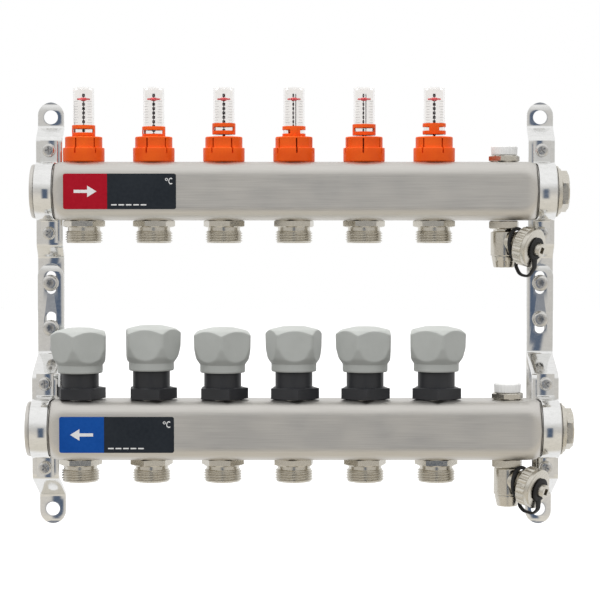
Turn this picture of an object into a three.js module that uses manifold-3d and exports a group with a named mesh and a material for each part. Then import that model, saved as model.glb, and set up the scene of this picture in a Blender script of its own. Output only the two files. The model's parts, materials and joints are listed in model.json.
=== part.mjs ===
// Underfloor heating manifold: a supply bar with flow meters and a return bar with hand valves,
// both clamped to a pair of cranked wall brackets.
// Millimetres, +Z up, +Y into the wall, +X to the right. The origin lies on the wall's face,
// midway between the four fixing holes.

import * as THREE from "three";
import { mergeVertices } from "three/addons/utils/BufferGeometryUtils.js";
import Module from "manifold-3d";

const wasm = await Module();
wasm.setup();

// ---------------------------------------------------------------- driving dimensions

const GAP = 0.3; // left between two pieces that touch or screw together
const HOLE_GAP = 0.8; // left round a shank in a bar's wall
const CIRCUITS = 6;
const CIRCUIT_PITCH = 50;
const FIRST_CIRCUIT_X = -151;
const SERVICE_X = 149; // air vent on top, drain cock below

const SUPPLY = { name: "supply", y: -34, z: 89 };
const RETURN = { name: "return", y: -62, z: -78 };

const BAR = { side: 41.5, cornerRadius: 9.5, endRounding: 8.5, halfLength: 171.5, wall: 1.5 };
const BAR_TOP = BAR.side / 2;
const NECK = { radius: 19.25, boreRadius: 15.2, inner: 160, openEnd: 188, plugEnd: 185.4, lip: 1.5 };
const PLUG = { foot: 172, flangeRadius: 18.2, flangeEnd: 187.2, stepRadius: 16.4, stepEnd: 188.9 };
const PLUG_HEX = { radius: 14.84, end: 194.4 };

const OUTLET = { hexRadius: 15.6, hexHeight: 4.8, neckRadius: 11.5, threadRadius: 13.2, boreRadius: 7 };
const OUTLET_NECK_END = 29.4;
const OUTLET_END = 36.75;
const OUTLET_CONE = { radius: 9, depth: 5.5 };

const BRACKET = { x: 178.4, width: 19, thickness: 2.5, holeZ: 143.5, holeRadius: 5.1, tabEnd: 154.3 };
const BRACKET_SLOT_WIDTH = { front: 9.4, rear: 7 };
const BRACKET_SLOTS = [
  { low: 14.7, high: 31.5 },
  { low: -14, high: 1.8 },
];

const CLAMP = { width: 12.5, thickness: 1.2, earEnd: 37, screwOffset: 30, screwHoleRadius: 2.6 };

// Heights are above the supply bar's axis. The ring turns to set the flow, and the lock collar above
// it is pushed down to hold it.
const METER_RING = { radius: 14.5, base: 21.4, step: 30.9, stepRadius: 13.25, top: 38.8 };
const RING_RECESS = { radius: 8.95, depth: 1.5 };
const SIGHT = { radius: 7.4, wall: 1.2, top: 73.9, foot: -12 };
const COLLAR = { radius: 8.3, boreRadius: 7.75, height: 7.9, windowBase: 2.9, windowHeight: 2.1 };
const COLLAR_PILLAR_WIDTH = 7.3;
const COLLAR_LIFTS = [0.3, -0.6, 1.7, -0.4, 1, 1.7]; // of its foot above the ring's top
const COLLAR_TURNS = [59, 59, 90, 0, 90, -10]; // degrees, of one pillar from the front
const FLOAT = { stemRadius: 1.1, top: 69.4, discRadius: 4.6, discHeight: 64.8, plateHeight: -6, plateRadius: 5.2 };

// Heights are above the return bar's axis. A hand knob stands higher the further it is opened.
const VALVE = { hexRadius: 17.5, hexBase: 21.05, hexTop: 29.5, neckRadius: 13, shankRadius: 9.7 };
const VALVE_NECK_TOP = 47;
const VALVE_PIN = { radius: 3.4, top: 53, seatRadius: 8, seatBase: -16, seatTop: -13 };
const KNOB = { base: 39.5, collarRadius: 15.8, collarHeight: 5.3, radius: 20.8, apothem: 17.1, top: 71.4 };
const KNOB_CAVITY = { radius: 14, top: 54 };
const KNOB_LIFTS = [0, 1.8, 0.3, 1.1, 0.8, 1.1];
const KNOB_TURNS = [-8, 26, 0, 38, -16, 9]; // degrees, of one corner from the front
const VALVE_TURNS = [30, 22, 17, 9, 2, 0]; // degrees, of one corner of the union nut from the front

const VENT = { hexRadius: 11.5, hexTop: 25.5, shankRadius: 4.7, shankFoot: 16, boreRadius: 2.6 };
const VENT_KNOB = { radius: 9.5, height: 7, pinRadius: 2.2, pinFoot: 18 };

const DRAIN = { hexRadius: 14.4, hexBottom: 26.8, shankRadius: 5.7, shankTop: 16, boreRadius: 4 };
const DRAIN_SPIGOT = { radius: 7.5, bottom: 31 };
const DRAIN_BARREL = { radius: 10.75, bottom: 46, chamberRadius: 5, chamberFoot: 42 };
const DRAIN_NUT = { topRadius: 10.4, bottomRadius: 8, bottom: 54.25 };
const SPOUT = { rootDepth: 34.75, turn: -38.4, drop: 13, radius: 8, end: 23, boreRadius: 4.5 };
const CAP = { radius: 14, start: 15.8, end: 26.7, roof: 23.4, bossRadius: 3.8, bossEnd: 30.2, socket: 4.4 };
const STRAP = { thickness: 1.8, width: 5, reach: 16.6 };
const STRAP_RINGS = { spoutRing: 14.5, spoutOuter: 10.2, bossRing: 28.2, bossOuter: 7.2 };

// ---------------------------------------------------------------- materials

const FINISHES = {
  stainless: { color: 0xb4b0a9, roughness: 0.32, metalness: 1 },
  chrome: { color: 0xdcdcda, roughness: 0.14, metalness: 1 },
  nickel: { color: 0xb9b5ac, roughness: 0.26, metalness: 1 },
  orangePlastic: { color: 0xe85a1a, roughness: 0.45, metalness: 0 },
  clearPlastic: { color: 0xe8ecec, roughness: 0.08, metalness: 0, transparent: true, opacity: 0.35 },
  floatPlastic: { color: 0x8e1f1c, roughness: 0.5, metalness: 0 },
  greyPlastic: { color: 0xb3b5b2, roughness: 0.55, metalness: 0 },
  blackPlastic: { color: 0x2c2d31, roughness: 0.5, metalness: 0 },
  whitePlastic: { color: 0xeeeeea, roughness: 0.45, metalness: 0 },
  rubber: { color: 0x17171a, roughness: 0.85, metalness: 0 },
};

const MATERIALS = Object.fromEntries(
  Object.entries(FINISHES).map(([name, finish]) => [name, new THREE.MeshStandardMaterial(finish)]),
);

// ---------------------------------------------------------------- solids

function toSolid(geometry) {
  const bare = geometry.clone();
  bare.deleteAttribute("normal");
  bare.deleteAttribute("uv");
  const merged = mergeVertices(bare, 1e-4);
  const mesh = new wasm.Mesh({
    numProp: 3,
    vertProperties: merged.attributes.position.array,
    triVerts: new Uint32Array(merged.index.array),
  });
  return new wasm.Manifold(mesh);
}

function toGeometry(solid) {
  const mesh = solid.getMesh();
  const geometry = new THREE.BufferGeometry();
  geometry.setAttribute("position", new THREE.BufferAttribute(new Float32Array(mesh.vertProperties), 3));
  geometry.setIndex(new THREE.BufferAttribute(new Uint32Array(mesh.triVerts), 1));
  geometry.computeVertexNormals();
  return geometry;
}

function join(...solids) {
  return solids.reduce((whole, solid) => whole.add(solid));
}

function cut(body, ...tools) {
  return tools.reduce((left, tool) => left.subtract(tool), body);
}

// Twice the signed area of a closed outline, positive when it runs anticlockwise.
function turningArea(outline) {
  return outline.reduce((sum, [x, y], i) => {
    const [nextX, nextY] = outline[(i + 1) % outline.length];
    return sum + x * nextY - nextX * y;
  }, 0);
}

// A closed outline of [radius, height] points turned about +Z.
function turned(outline, segments) {
  const ordered = turningArea(outline) > 0 ? outline : [...outline].reverse();
  const points = [...ordered, ordered[0]].map(([radius, height]) => new THREE.Vector2(radius, height));
  return new THREE.LatheGeometry(points, segments).rotateX(Math.PI / 2);
}

function disc(radius, low, high, segments) {
  return turned([[0, low], [radius, low], [radius, high], [0, high]], segments);
}

// The same, turned about +X, for what lies along a bar or a spout.
function alongX(geometry) {
  return geometry.rotateY(Math.PI / 2);
}

// An outline of [y, z] points pushed along X to both sides of the middle.
function slab(outline, width) {
  const shape = new THREE.Shape(outline.map(([y, z]) => new THREE.Vector2(y, z)));
  const geometry = new THREE.ExtrudeGeometry(shape, { depth: width, bevelEnabled: false });
  geometry.translate(0, 0, -width / 2);
  // The shape's own x, y and depth become y, z and x.
  return geometry.applyMatrix4(new THREE.Matrix4().set(0, 0, 1, 0, 1, 0, 0, 0, 0, 1, 0, 0, 0, 0, 0, 1));
}

// A path moved sideways by a distance, with mitred corners.
function offsetPath(path, distance) {
  const normals = path.slice(1).map(([x, y], i) => {
    const along = new THREE.Vector2(x - path[i][0], y - path[i][1]).normalize();
    return new THREE.Vector2(-along.y, along.x);
  });
  return path.map(([x, y], i) => {
    const before = normals[Math.max(i - 1, 0)];
    const after = normals[Math.min(i, normals.length - 1)];
    const reach = distance / (1 + before.dot(after));
    return [x + reach * (before.x + after.x), y + reach * (before.y + after.y)];
  });
}

// The outline of a strip of even thickness bent along a path through its middle.
function stripOutline(path, thickness) {
  const left = offsetPath(path, thickness / 2);
  const right = offsetPath(path, -thickness / 2);
  return [...left, ...right.reverse()];
}

// An upright plate in the XZ plane with round ends, pushed through Y.
function roundEndedPlate(width, low, high, lowRadius, highRadius, nearY, farY) {
  const half = width / 2;
  const shape = new THREE.Shape();
  const lowAngle = Math.asin(Math.min(1, half / lowRadius));
  const highAngle = Math.asin(Math.min(1, half / highRadius));
  shape.absarc(0, high - highRadius, highRadius, Math.PI / 2 - highAngle, Math.PI / 2 + highAngle);
  shape.absarc(0, low + lowRadius, lowRadius, -Math.PI / 2 - lowAngle, -Math.PI / 2 + lowAngle);
  shape.closePath();
  const settings = { depth: farY - nearY, bevelEnabled: false, curveSegments: 3 };
  return new THREE.ExtrudeGeometry(shape, settings).rotateX(Math.PI / 2).translate(0, farY, 0);
}

// ---------------------------------------------------------------- bars

// A round-cornered square bar along X whose ends round over as pressed tube does.
function squareBar(side, cornerRadius, halfLength, endRounding) {
  const half = side / 2 - cornerRadius;
  const shape = new THREE.Shape();
  shape.absarc(half, half, cornerRadius, 0, Math.PI / 2);
  shape.absarc(-half, half, cornerRadius, Math.PI / 2, Math.PI);
  shape.absarc(-half, -half, cornerRadius, Math.PI, 1.5 * Math.PI);
  shape.absarc(half, -half, cornerRadius, 1.5 * Math.PI, 2 * Math.PI);
  const straight = 2 * (halfLength - endRounding);
  const geometry = new THREE.ExtrudeGeometry(shape, {
    depth: straight,
    curveSegments: 2,
    bevelThickness: endRounding,
    bevelSize: endRounding,
    bevelOffset: -endRounding,
    bevelSegments: 2,
  });
  return alongX(geometry.translate(0, 0, -straight / 2));
}

function barNecks() {
  const { radius, inner, openEnd, plugEnd, lip } = NECK;
  const open = turned(
    [
      [0, inner],
      [radius, inner],
      [radius, openEnd - lip],
      [radius - lip, openEnd],
      [0, openEnd],
    ],
    20,
  );
  const plugged = disc(radius, inner, plugEnd, 20);
  return join(toSolid(alongX(open).rotateZ(Math.PI)), toSolid(alongX(plugged)));
}

function outletNipple() {
  const { hexRadius, hexHeight, neckRadius, threadRadius } = OUTLET;
  const root = BAR_TOP - BAR.wall / 2;
  const hex = disc(hexRadius, -BAR_TOP - hexHeight, -root, 6).rotateZ(Math.PI / 6);
  const spigot = turned(
    [
      [0, -root],
      [neckRadius, -root],
      [neckRadius, -OUTLET_NECK_END],
      [threadRadius, -OUTLET_NECK_END],
      [threadRadius, -OUTLET_END + 1],
      [threadRadius - 0.8, -OUTLET_END],
      [0, -OUTLET_END],
    ],
    12,
  );
  return join(toSolid(hex), toSolid(spigot));
}

function outletBore() {
  const { boreRadius } = OUTLET;
  const past = 0.2;
  return turned(
    [
      [0, -BAR_TOP + 3],
      [boreRadius, -BAR_TOP + 3],
      [boreRadius, -OUTLET_END + OUTLET_CONE.depth],
      [OUTLET_CONE.radius, -OUTLET_END - past],
      [0, -OUTLET_END - past],
    ],
    8,
  );
}

function circuitX(circuit) {
  return FIRST_CIRCUIT_X + circuit * CIRCUIT_PITCH;
}

function everyCircuit(make) {
  return Array.from({ length: CIRCUITS }, (_, circuit) => make(circuit));
}

function barSolid(topHoleRadius) {
  const { side, cornerRadius, halfLength, endRounding, wall } = BAR;
  const shell = toSolid(squareBar(side, cornerRadius, halfLength, endRounding));
  const nipple = outletNipple();
  const nipples = everyCircuit((circuit) => nipple.translate([circuitX(circuit), 0, 0]));
  const hollow = toSolid(squareBar(side - 2 * wall, cornerRadius - wall, halfLength - wall, endRounding - wall));
  const neckBore = toSolid(alongX(disc(NECK.boreRadius, -NECK.openEnd - 1, NECK.openEnd + 1, 16)));
  const bore = toSolid(outletBore());
  const bores = everyCircuit((circuit) => bore.translate([circuitX(circuit), 0, 0]));
  const topHole = toSolid(disc(topHoleRadius, BAR_TOP - 3, BAR_TOP + 1, 12));
  const topHoles = everyCircuit((circuit) => topHole.translate([circuitX(circuit), 0, 0]));
  const ventHole = disc(VENT.shankRadius + HOLE_GAP, BAR_TOP - 3, BAR_TOP + 1, 8);
  const drainHole = disc(DRAIN.shankRadius + HOLE_GAP, -BAR_TOP - 1, -BAR_TOP + 3, 8);
  const serviceHoles = [ventHole, drainHole].map((hole) => toSolid(hole.translate(SERVICE_X, 0, 0)));
  return cut(join(shell, barNecks(), ...nipples), hollow, neckBore, ...bores, ...topHoles, ...serviceHoles);
}

// A screwed plug: threaded root, flange, step and hexagon.
function endPlug() {
  const { foot, flangeRadius, flangeEnd, stepRadius, stepEnd } = PLUG;
  const rootRadius = NECK.boreRadius - GAP;
  const flangeStart = NECK.plugEnd + GAP;
  const rings = turned(
    [
      [0, foot],
      [rootRadius, foot],
      [rootRadius, flangeStart],
      [flangeRadius, flangeStart],
      [flangeRadius, flangeEnd],
      [stepRadius, flangeEnd],
      [stepRadius, stepEnd],
      [0, stepEnd],
    ],
    16,
  );
  const hex = disc(PLUG_HEX.radius, stepEnd - 0.2, PLUG_HEX.end, 6);
  return join(toSolid(alongX(rings)), toSolid(alongX(hex)));
}

// ---------------------------------------------------------------- brackets and clamps

const SEAT_DEPTH = 20.5; // from a bar's axis back to the face of the bracket that carries it

// Paths of [y, z] points through the middle of the strip, from the wall tab inwards.
const UPPER_HALF_PATH = [
  [-1.25, 154.4],
  [-1.25, 135.6],
  [-12.25, 127],
  [-12.25, 50.2],
  [-4.45, 42],
  [-4.45, -75],
];

const LOWER_HALF_PATH = [
  [-1.25, -154.4],
  [-1.25, -132],
  [-40.25, -115.2],
  [-40.25, -42.6],
  [-7.15, -29.2],
  [-7.15, 37],
];

function wallHole(side) {
  const hole = disc(BRACKET.holeRadius, -6, 6, 12).rotateX(Math.PI / 2);
  return toSolid(hole.translate(0, 0, side * BRACKET.holeZ));
}

function slotCutters(width) {
  return BRACKET_SLOTS.map(({ low, high }) =>
    toSolid(roundEndedPlate(width, low, high, width / 2, width / 2, -12, 0)),
  );
}

function clampScrewHoles(bar) {
  return [-1, 1].map((side) => {
    const hole = disc(CLAMP.screwHoleRadius, -60, 0, 6).rotateX(Math.PI / 2).scale(1, -1, -1);
    return toSolid(hole.translate(0, 0, bar.z + side * CLAMP.screwOffset));
  });
}

function bracketHalf(path, bar, side, slotWidth) {
  const { width, thickness, tabEnd } = BRACKET;
  const strip = toSolid(slab(stripOutline(path, thickness), width));
  const farEnd = path[path.length - 1][1];
  const low = Math.min(farEnd, side * tabEnd);
  const high = Math.max(farEnd, side * tabEnd);
  const roundEnds = toSolid(roundEndedPlate(width, low, high, width / 2 + 1, width / 2 + 1, -60, 5));
  const holes = [wallHole(side), ...slotCutters(slotWidth), ...clampScrewHoles(bar)];
  return cut(strip.intersect(roundEnds), ...holes);
}

// A band over the front of a bar's neck, with an ear each side flat on the bracket.
function clampSolid() {
  const { width, thickness, earEnd, screwOffset, screwHoleRadius } = CLAMP;
  const radius = NECK.radius + GAP + thickness / 2;
  const earY = SEAT_DEPTH - GAP - thickness / 2;
  const steps = 12;
  const arc = Array.from({ length: steps + 1 }, (_, i) => {
    const angle = (Math.PI * i) / steps;
    return [-radius * Math.sin(angle), radius * Math.cos(angle)];
  });
  const path = [[earY, earEnd], [earY, radius], ...arc, [earY, -radius], [earY, -earEnd]];
  const band = toSolid(slab(stripOutline(path, thickness), width));
  const holes = [-1, 1].map((side) => {
    const hole = disc(screwHoleRadius, -40, 40, 6).rotateX(Math.PI / 2);
    return toSolid(hole.translate(0, 0, side * screwOffset));
  });
  const backOnly = toSolid(new THREE.BoxGeometry(40, 20, 100).translate(0, SEAT_DEPTH, 0));
  return cut(band, ...holes.map((hole) => hole.intersect(backOnly)));
}

// ---------------------------------------------------------------- flow meters

function meterRing() {
  const { radius, base, step, stepRadius, top } = METER_RING;
  const bore = SIGHT.radius + GAP;
  const recessFloor = top - RING_RECESS.depth;
  return turned(
    [
      [bore, base],
      [radius - 0.8, base],
      [radius, base + 1],
      [radius, step],
      [stepRadius, step],
      [stepRadius, top],
      [RING_RECESS.radius, top],
      [RING_RECESS.radius, recessFloor],
      [bore, recessFloor],
    ],
    12,
  );
}

// The clear tube, and the seat tube below it that reaches down into the bar.
function sightTube() {
  const { radius, wall, top, foot } = SIGHT;
  const inner = radius - wall;
  return turned(
    [
      [inner, foot],
      [radius, foot],
      [radius, top - 1.4],
      [radius - 1.4, top],
      [0, top],
      [0, top - wall],
      [inner, top - wall],
    ],
    10,
  );
}

// A sleeve round the sight tube with a window at each side, between two pillars.
function lockCollar() {
  const { radius, boreRadius, height, windowBase, windowHeight } = COLLAR;
  const sleeve = turned([[boreRadius, 0], [radius, 0], [radius, height], [boreRadius, height]], 12);
  const reach = 2 * radius;
  const windows = [-1, 1].map((side) => {
    const opening = new THREE.BoxGeometry(reach, reach, windowHeight);
    const away = (COLLAR_PILLAR_WIDTH + reach) / 2;
    return toSolid(opening.translate(side * away, 0, windowBase + windowHeight / 2));
  });
  return cut(toSolid(sleeve), ...windows);
}

function floatStem() {
  const { stemRadius, top, discRadius, discHeight, plateHeight, plateRadius } = FLOAT;
  const discThickness = 1.4;
  return turned(
    [
      [0, plateHeight],
      [plateRadius, plateHeight],
      [plateRadius, plateHeight + discThickness],
      [stemRadius, plateHeight + discThickness],
      [stemRadius, discHeight],
      [discRadius, discHeight],
      [discRadius, discHeight + discThickness],
      [stemRadius, discHeight + discThickness],
      [stemRadius, top],
      [0, top],
    ],
    6,
  );
}

// ---------------------------------------------------------------- return valves

// The union nut and threaded neck, with the valve's pin and seat disc held inside them.
function valveBody() {
  const { hexRadius, hexBase, hexTop, neckRadius, shankRadius } = VALVE;
  const { radius, top, seatRadius, seatBase, seatTop } = VALVE_PIN;
  const shankEnd = 12;
  const neck = turned(
    [
      [0, seatBase],
      [seatRadius, seatBase],
      [seatRadius, seatTop],
      [radius, seatTop],
      [radius, shankEnd],
      [shankRadius, shankEnd],
      [shankRadius, hexBase],
      [neckRadius, hexBase],
      [neckRadius, VALVE_NECK_TOP],
      [radius, VALVE_NECK_TOP],
      [radius, top],
      [0, top],
    ],
    10,
  );
  return join(toSolid(disc(hexRadius, hexBase, hexTop, 6)), toSolid(neck));
}

// A domed, flared knob of revolution with five flats, hollow below to go over the valve's neck.
function knobSolid() {
  const { base, collarRadius, collarHeight, radius, apothem, top } = KNOB;
  const outside = turned(
    [
      [0, base],
      [collarRadius - 0.8, base],
      [collarRadius, base + 1],
      [collarRadius, base + collarHeight],
      [radius - 0.6, base + 16],
      [radius, base + 20],
      [radius - 0.4, base + 26.5],
      [radius - 7, top - 1.4],
      [0, top],
    ],
    10,
  );
  const flats = disc(apothem / Math.cos(Math.PI / 5), base + collarHeight, top + 1, 5);
  const lower = disc(radius, base - 1, base + collarHeight, 10);
  const cavity = disc(KNOB_CAVITY.radius, base - 1, KNOB_CAVITY.top, 10);
  return cut(toSolid(outside).intersect(join(toSolid(flats), toSolid(lower))), toSolid(cavity));
}

// ---------------------------------------------------------------- air vents and drain cocks

function ventBase() {
  const { hexRadius, hexTop, shankRadius, shankFoot, boreRadius } = VENT;
  const base = BAR_TOP + GAP;
  const shank = disc(shankRadius, shankFoot, base + 1, 12);
  const bore = disc(boreRadius, shankFoot - 1, hexTop + 1, 8);
  return cut(join(toSolid(disc(hexRadius, base, hexTop, 6)), toSolid(shank)), toSolid(bore));
}

function ventKnob() {
  const { radius, height, pinRadius, pinFoot } = VENT_KNOB;
  const base = VENT.hexTop + GAP;
  return turned(
    [
      [0, pinFoot],
      [pinRadius, pinFoot],
      [pinRadius, base],
      [radius, base],
      [radius, base + height - 1],
      [radius - 1, base + height],
      [0, base + height],
    ],
    12,
  );
}

function drainNipple() {
  const { hexRadius, hexBottom, shankRadius, shankTop, boreRadius } = DRAIN;
  const { radius, bottom } = DRAIN_SPIGOT;
  const hex = disc(hexRadius, -hexBottom, -BAR_TOP - GAP, 6);
  const shank = disc(shankRadius, -BAR_TOP - 1, -shankTop, 12);
  const spigot = disc(radius, -bottom, -hexBottom + 1, 12);
  const bore = disc(boreRadius, -bottom - 1, 1 - shankTop, 10);
  return cut(join(toSolid(hex), toSolid(shank), toSolid(spigot)), toSolid(bore));
}

// The part of the cock that swivels: its barrel, the tapered nut below and the slanting spout.
function drainBody() {
  const { chamberRadius, chamberFoot } = DRAIN_BARREL;
  const barrelTop = -DRAIN.hexBottom - GAP;
  const barrel = turned(
    [
      [0, -DRAIN_NUT.bottom],
      [DRAIN_NUT.bottomRadius, -DRAIN_NUT.bottom],
      [DRAIN_NUT.topRadius, -DRAIN_BARREL.bottom],
      [DRAIN_BARREL.radius, -DRAIN_BARREL.bottom],
      [DRAIN_BARREL.radius, barrelTop],
      [0, barrelTop],
    ],
    16,
  );
  const spout = spoutPiece(disc(SPOUT.radius, 0, SPOUT.end, 12));
  const socket = disc(DRAIN_SPIGOT.radius + GAP, -DRAIN_SPIGOT.bottom - 0.5, barrelTop + 1, 12);
  const chamber = disc(chamberRadius, -chamberFoot, -DRAIN_SPIGOT.bottom, 8);
  const spoutBore = spoutPiece(disc(SPOUT.boreRadius, 0, SPOUT.end + 1, 8));
  return cut(join(toSolid(barrel), toSolid(spout)), toSolid(socket), toSolid(chamber), toSolid(spoutBore));
}

// Turns a piece made about +Z so that it lies along the spout, starting at the cock's axis.
function spoutPiece(geometry) {
  return alongX(geometry).rotateY(THREE.MathUtils.degToRad(SPOUT.drop)).translate(0, 0, -SPOUT.rootDepth);
}

function hoseCap() {
  const { radius, start, end, roof, bossRadius, bossEnd, socket } = CAP;
  const shell = turned(
    [
      [SPOUT.radius + GAP, start],
      [radius, start],
      [radius, end - 0.8],
      [radius - 0.8, end],
      [bossRadius, end],
      [bossRadius, bossEnd],
      [0, bossEnd],
      [0, roof],
      [SPOUT.radius + GAP, roof],
    ],
    16,
  );
  const key = new THREE.BoxGeometry(socket, socket, 6).translate(0, 0, bossEnd);
  return cut(toSolid(shell), toSolid(key));
}

// The cap's retaining strap: a ring round the spout, a band under the cap and a ring round its boss.
function capStrap() {
  const { thickness, width, reach } = STRAP;
  const { spoutRing, spoutOuter, bossRing, bossOuter } = STRAP_RINGS;
  const ring = (inner, outer, x) =>
    turned(
      [
        [inner, x - thickness / 2],
        [outer, x - thickness / 2],
        [outer, x + thickness / 2],
        [inner, x + thickness / 2],
      ],
      12,
    );
  const path = [
    [0.6 - spoutOuter, spoutRing],
    [1 - reach, spoutRing],
    [-reach, spoutRing + 1.5],
    [-reach, bossRing - 1.5],
    [1 - reach, bossRing],
    [0.8 - bossOuter, bossRing],
  ];
  // The slab's y and z are the way down from the spout's axis and the way along it.
  const band = slab(stripOutline(path, thickness), width).rotateZ(Math.PI / 2);
  const rings = [ring(SPOUT.radius + GAP, spoutOuter, spoutRing), ring(CAP.bossRadius + GAP, bossOuter, bossRing)];
  return join(...rings.map(toSolid), toSolid(band));
}

// ---------------------------------------------------------------- assembly

function piece(name, geometry, finish) {
  const mesh = new THREE.Mesh(geometry, MATERIALS[finish]);
  mesh.name = name;
  return mesh;
}

function groupAt(x, y, z, ...children) {
  const group = new THREE.Group();
  group.position.set(x, y, z);
  group.add(...children);
  return group;
}

function copies(name, geometry, finish) {
  return (suffix) => piece(name + "_" + suffix, geometry, finish);
}

const makePlug = copies("end_plug", toGeometry(endPlug()), "nickel");
const makeClamp = copies("pipe_clamp", toGeometry(clampSolid()), "chrome");
const makeRing = copies("flow_meter_ring", meterRing(), "orangePlastic");
const makeSight = copies("sight_tube", sightTube(), "clearPlastic");
const makeCollar = copies("lock_collar", toGeometry(lockCollar()), "orangePlastic");
const makeFloat = copies("flow_indicator", floatStem(), "floatPlastic");
const makeValve = copies("valve_body", toGeometry(valveBody()), "blackPlastic");
const makeKnob = copies("valve_knob", toGeometry(knobSolid()), "greyPlastic");
const makeVentBase = copies("vent_base", toGeometry(ventBase()), "nickel");
const makeVentKnob = copies("vent_knob", ventKnob(), "whitePlastic");
const makeDrainNipple = copies("drain_nipple", toGeometry(drainNipple()), "nickel");
const makeDrainBody = copies("drain_cock", toGeometry(drainBody()), "nickel");
const makeCap = copies("hose_cap", spoutPiece(toGeometry(hoseCap())), "nickel");
const makeStrap = copies("cap_strap", spoutPiece(toGeometry(capStrap())), "rubber");

function servicePieces(bar) {
  const swivel = groupAt(0, 0, 0, makeDrainBody(bar.name), makeCap(bar.name), makeStrap(bar.name));
  swivel.rotation.z = THREE.MathUtils.degToRad(SPOUT.turn);
  const fixed = [makeVentBase(bar.name), makeVentKnob(bar.name), makeDrainNipple(bar.name)];
  return groupAt(SERVICE_X, 0, 0, ...fixed, swivel);
}

function clampPair(bar) {
  return [-1, 1].map((side) => {
    const clamp = makeClamp(bar.name + (side < 0 ? "_left" : "_right"));
    clamp.position.x = side * BRACKET.x;
    return clamp;
  });
}

function flowMeter(circuit) {
  const label = circuit + 1;
  const collar = makeCollar(label);
  collar.position.z = METER_RING.top + COLLAR_LIFTS[circuit];
  collar.rotation.z = THREE.MathUtils.degToRad(COLLAR_TURNS[circuit]);
  return groupAt(circuitX(circuit), 0, 0, makeRing(label), makeSight(label), collar, makeFloat(label));
}

function returnValve(circuit) {
  const valve = makeValve(circuit + 1);
  valve.rotation.z = THREE.MathUtils.degToRad(VALVE_TURNS[circuit]);
  const knob = makeKnob(circuit + 1);
  knob.position.z = KNOB_LIFTS[circuit];
  knob.rotation.z = THREE.MathUtils.degToRad(KNOB_TURNS[circuit]);
  return groupAt(circuitX(circuit), 0, 0, valve, knob);
}

function barGroup(bar, topHoleRadius, makeCircuit) {
  const tube = piece(bar.name + "_bar", toGeometry(barSolid(topHoleRadius)), "stainless");
  const circuits = everyCircuit(makeCircuit);
  const ends = [makePlug(bar.name), ...clampPair(bar)];
  return groupAt(0, bar.y, bar.z, tube, ...ends, ...circuits, servicePieces(bar));
}

function brackets() {
  const upper = toGeometry(bracketHalf(UPPER_HALF_PATH, SUPPLY, 1, BRACKET_SLOT_WIDTH.rear));
  const lower = toGeometry(bracketHalf(LOWER_HALF_PATH, RETURN, -1, BRACKET_SLOT_WIDTH.front));
  return [-1, 1].flatMap((side) => {
    const end = side < 0 ? "_left" : "_right";
    const halves = [piece("upper_bracket" + end, upper, "chrome"), piece("lower_bracket" + end, lower, "chrome")];
    halves.forEach((half) => {
      half.position.x = side * BRACKET.x;
    });
    return halves;
  });
}

const manifold = new THREE.Group();
manifold.name = "underfloor_heating_manifold";
manifold.add(...brackets());
manifold.add(barGroup(SUPPLY, SIGHT.radius + HOLE_GAP, flowMeter));
manifold.add(barGroup(RETURN, VALVE.shankRadius + HOLE_GAP, returnValve));

export default manifold;
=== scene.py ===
"""Looks of a six-circuit underfloor heating manifold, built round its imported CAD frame.

Shapes are worked out in millimetres in the part's own frame: +X along the bars, +Y into the wall, +Z up.
"""

import json
import math
import bmesh
import bpy
import numpy as np
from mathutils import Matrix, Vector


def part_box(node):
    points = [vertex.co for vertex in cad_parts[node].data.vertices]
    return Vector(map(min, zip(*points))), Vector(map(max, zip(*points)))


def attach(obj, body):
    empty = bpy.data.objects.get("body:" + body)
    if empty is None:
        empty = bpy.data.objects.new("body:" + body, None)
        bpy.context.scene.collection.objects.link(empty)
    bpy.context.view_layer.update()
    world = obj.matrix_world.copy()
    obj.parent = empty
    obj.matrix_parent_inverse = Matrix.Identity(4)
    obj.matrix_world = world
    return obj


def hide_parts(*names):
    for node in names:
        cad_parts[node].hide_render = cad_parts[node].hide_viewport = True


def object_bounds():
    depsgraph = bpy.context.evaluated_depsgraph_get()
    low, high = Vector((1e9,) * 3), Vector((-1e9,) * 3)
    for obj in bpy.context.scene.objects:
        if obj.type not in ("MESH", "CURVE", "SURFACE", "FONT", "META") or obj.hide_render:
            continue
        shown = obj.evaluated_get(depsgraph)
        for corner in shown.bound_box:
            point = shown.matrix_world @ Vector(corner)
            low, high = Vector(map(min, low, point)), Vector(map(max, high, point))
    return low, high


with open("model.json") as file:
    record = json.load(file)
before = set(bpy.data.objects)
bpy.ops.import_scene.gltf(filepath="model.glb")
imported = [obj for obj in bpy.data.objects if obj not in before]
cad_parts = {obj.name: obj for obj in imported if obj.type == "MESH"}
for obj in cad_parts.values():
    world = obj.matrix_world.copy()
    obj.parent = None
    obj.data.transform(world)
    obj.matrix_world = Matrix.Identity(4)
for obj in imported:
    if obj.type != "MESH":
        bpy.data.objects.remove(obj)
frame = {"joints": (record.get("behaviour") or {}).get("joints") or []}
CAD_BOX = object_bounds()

# ------------------------------------------------------------------ places, read from the frame

MM = 0.001
CIRCUITS = range(1, 7)
JOINTS = {joint["name"]: joint for joint in frame["joints"]}


def joint_place(name):
    """A hinge's point, in millimetres."""
    return np.array(JOINTS[name]["pos_m"]) / MM


def box_mm(node):
    """A CAD node's lowest and highest corners, in millimetres."""
    low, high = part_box(node)
    return np.array(low) / MM, np.array(high) / MM


SUPPLY_AXIS = joint_place("flow_setting_1")
RETURN_AXIS = joint_place("valve_turn_1")
SERVICE_X = joint_place("vent_turn_supply")[0]
BAR_HALF = box_mm("supply_bar")[1][2] - SUPPLY_AXIS[2]
CLAMP_X = float(np.mean([corner[0] for corner in box_mm("pipe_clamp_supply_right")]))
BARS = {"supply": SUPPLY_AXIS, "return": RETURN_AXIS}
BAR_BODY = {"supply": "root", "return": "return_assembly"}

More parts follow.
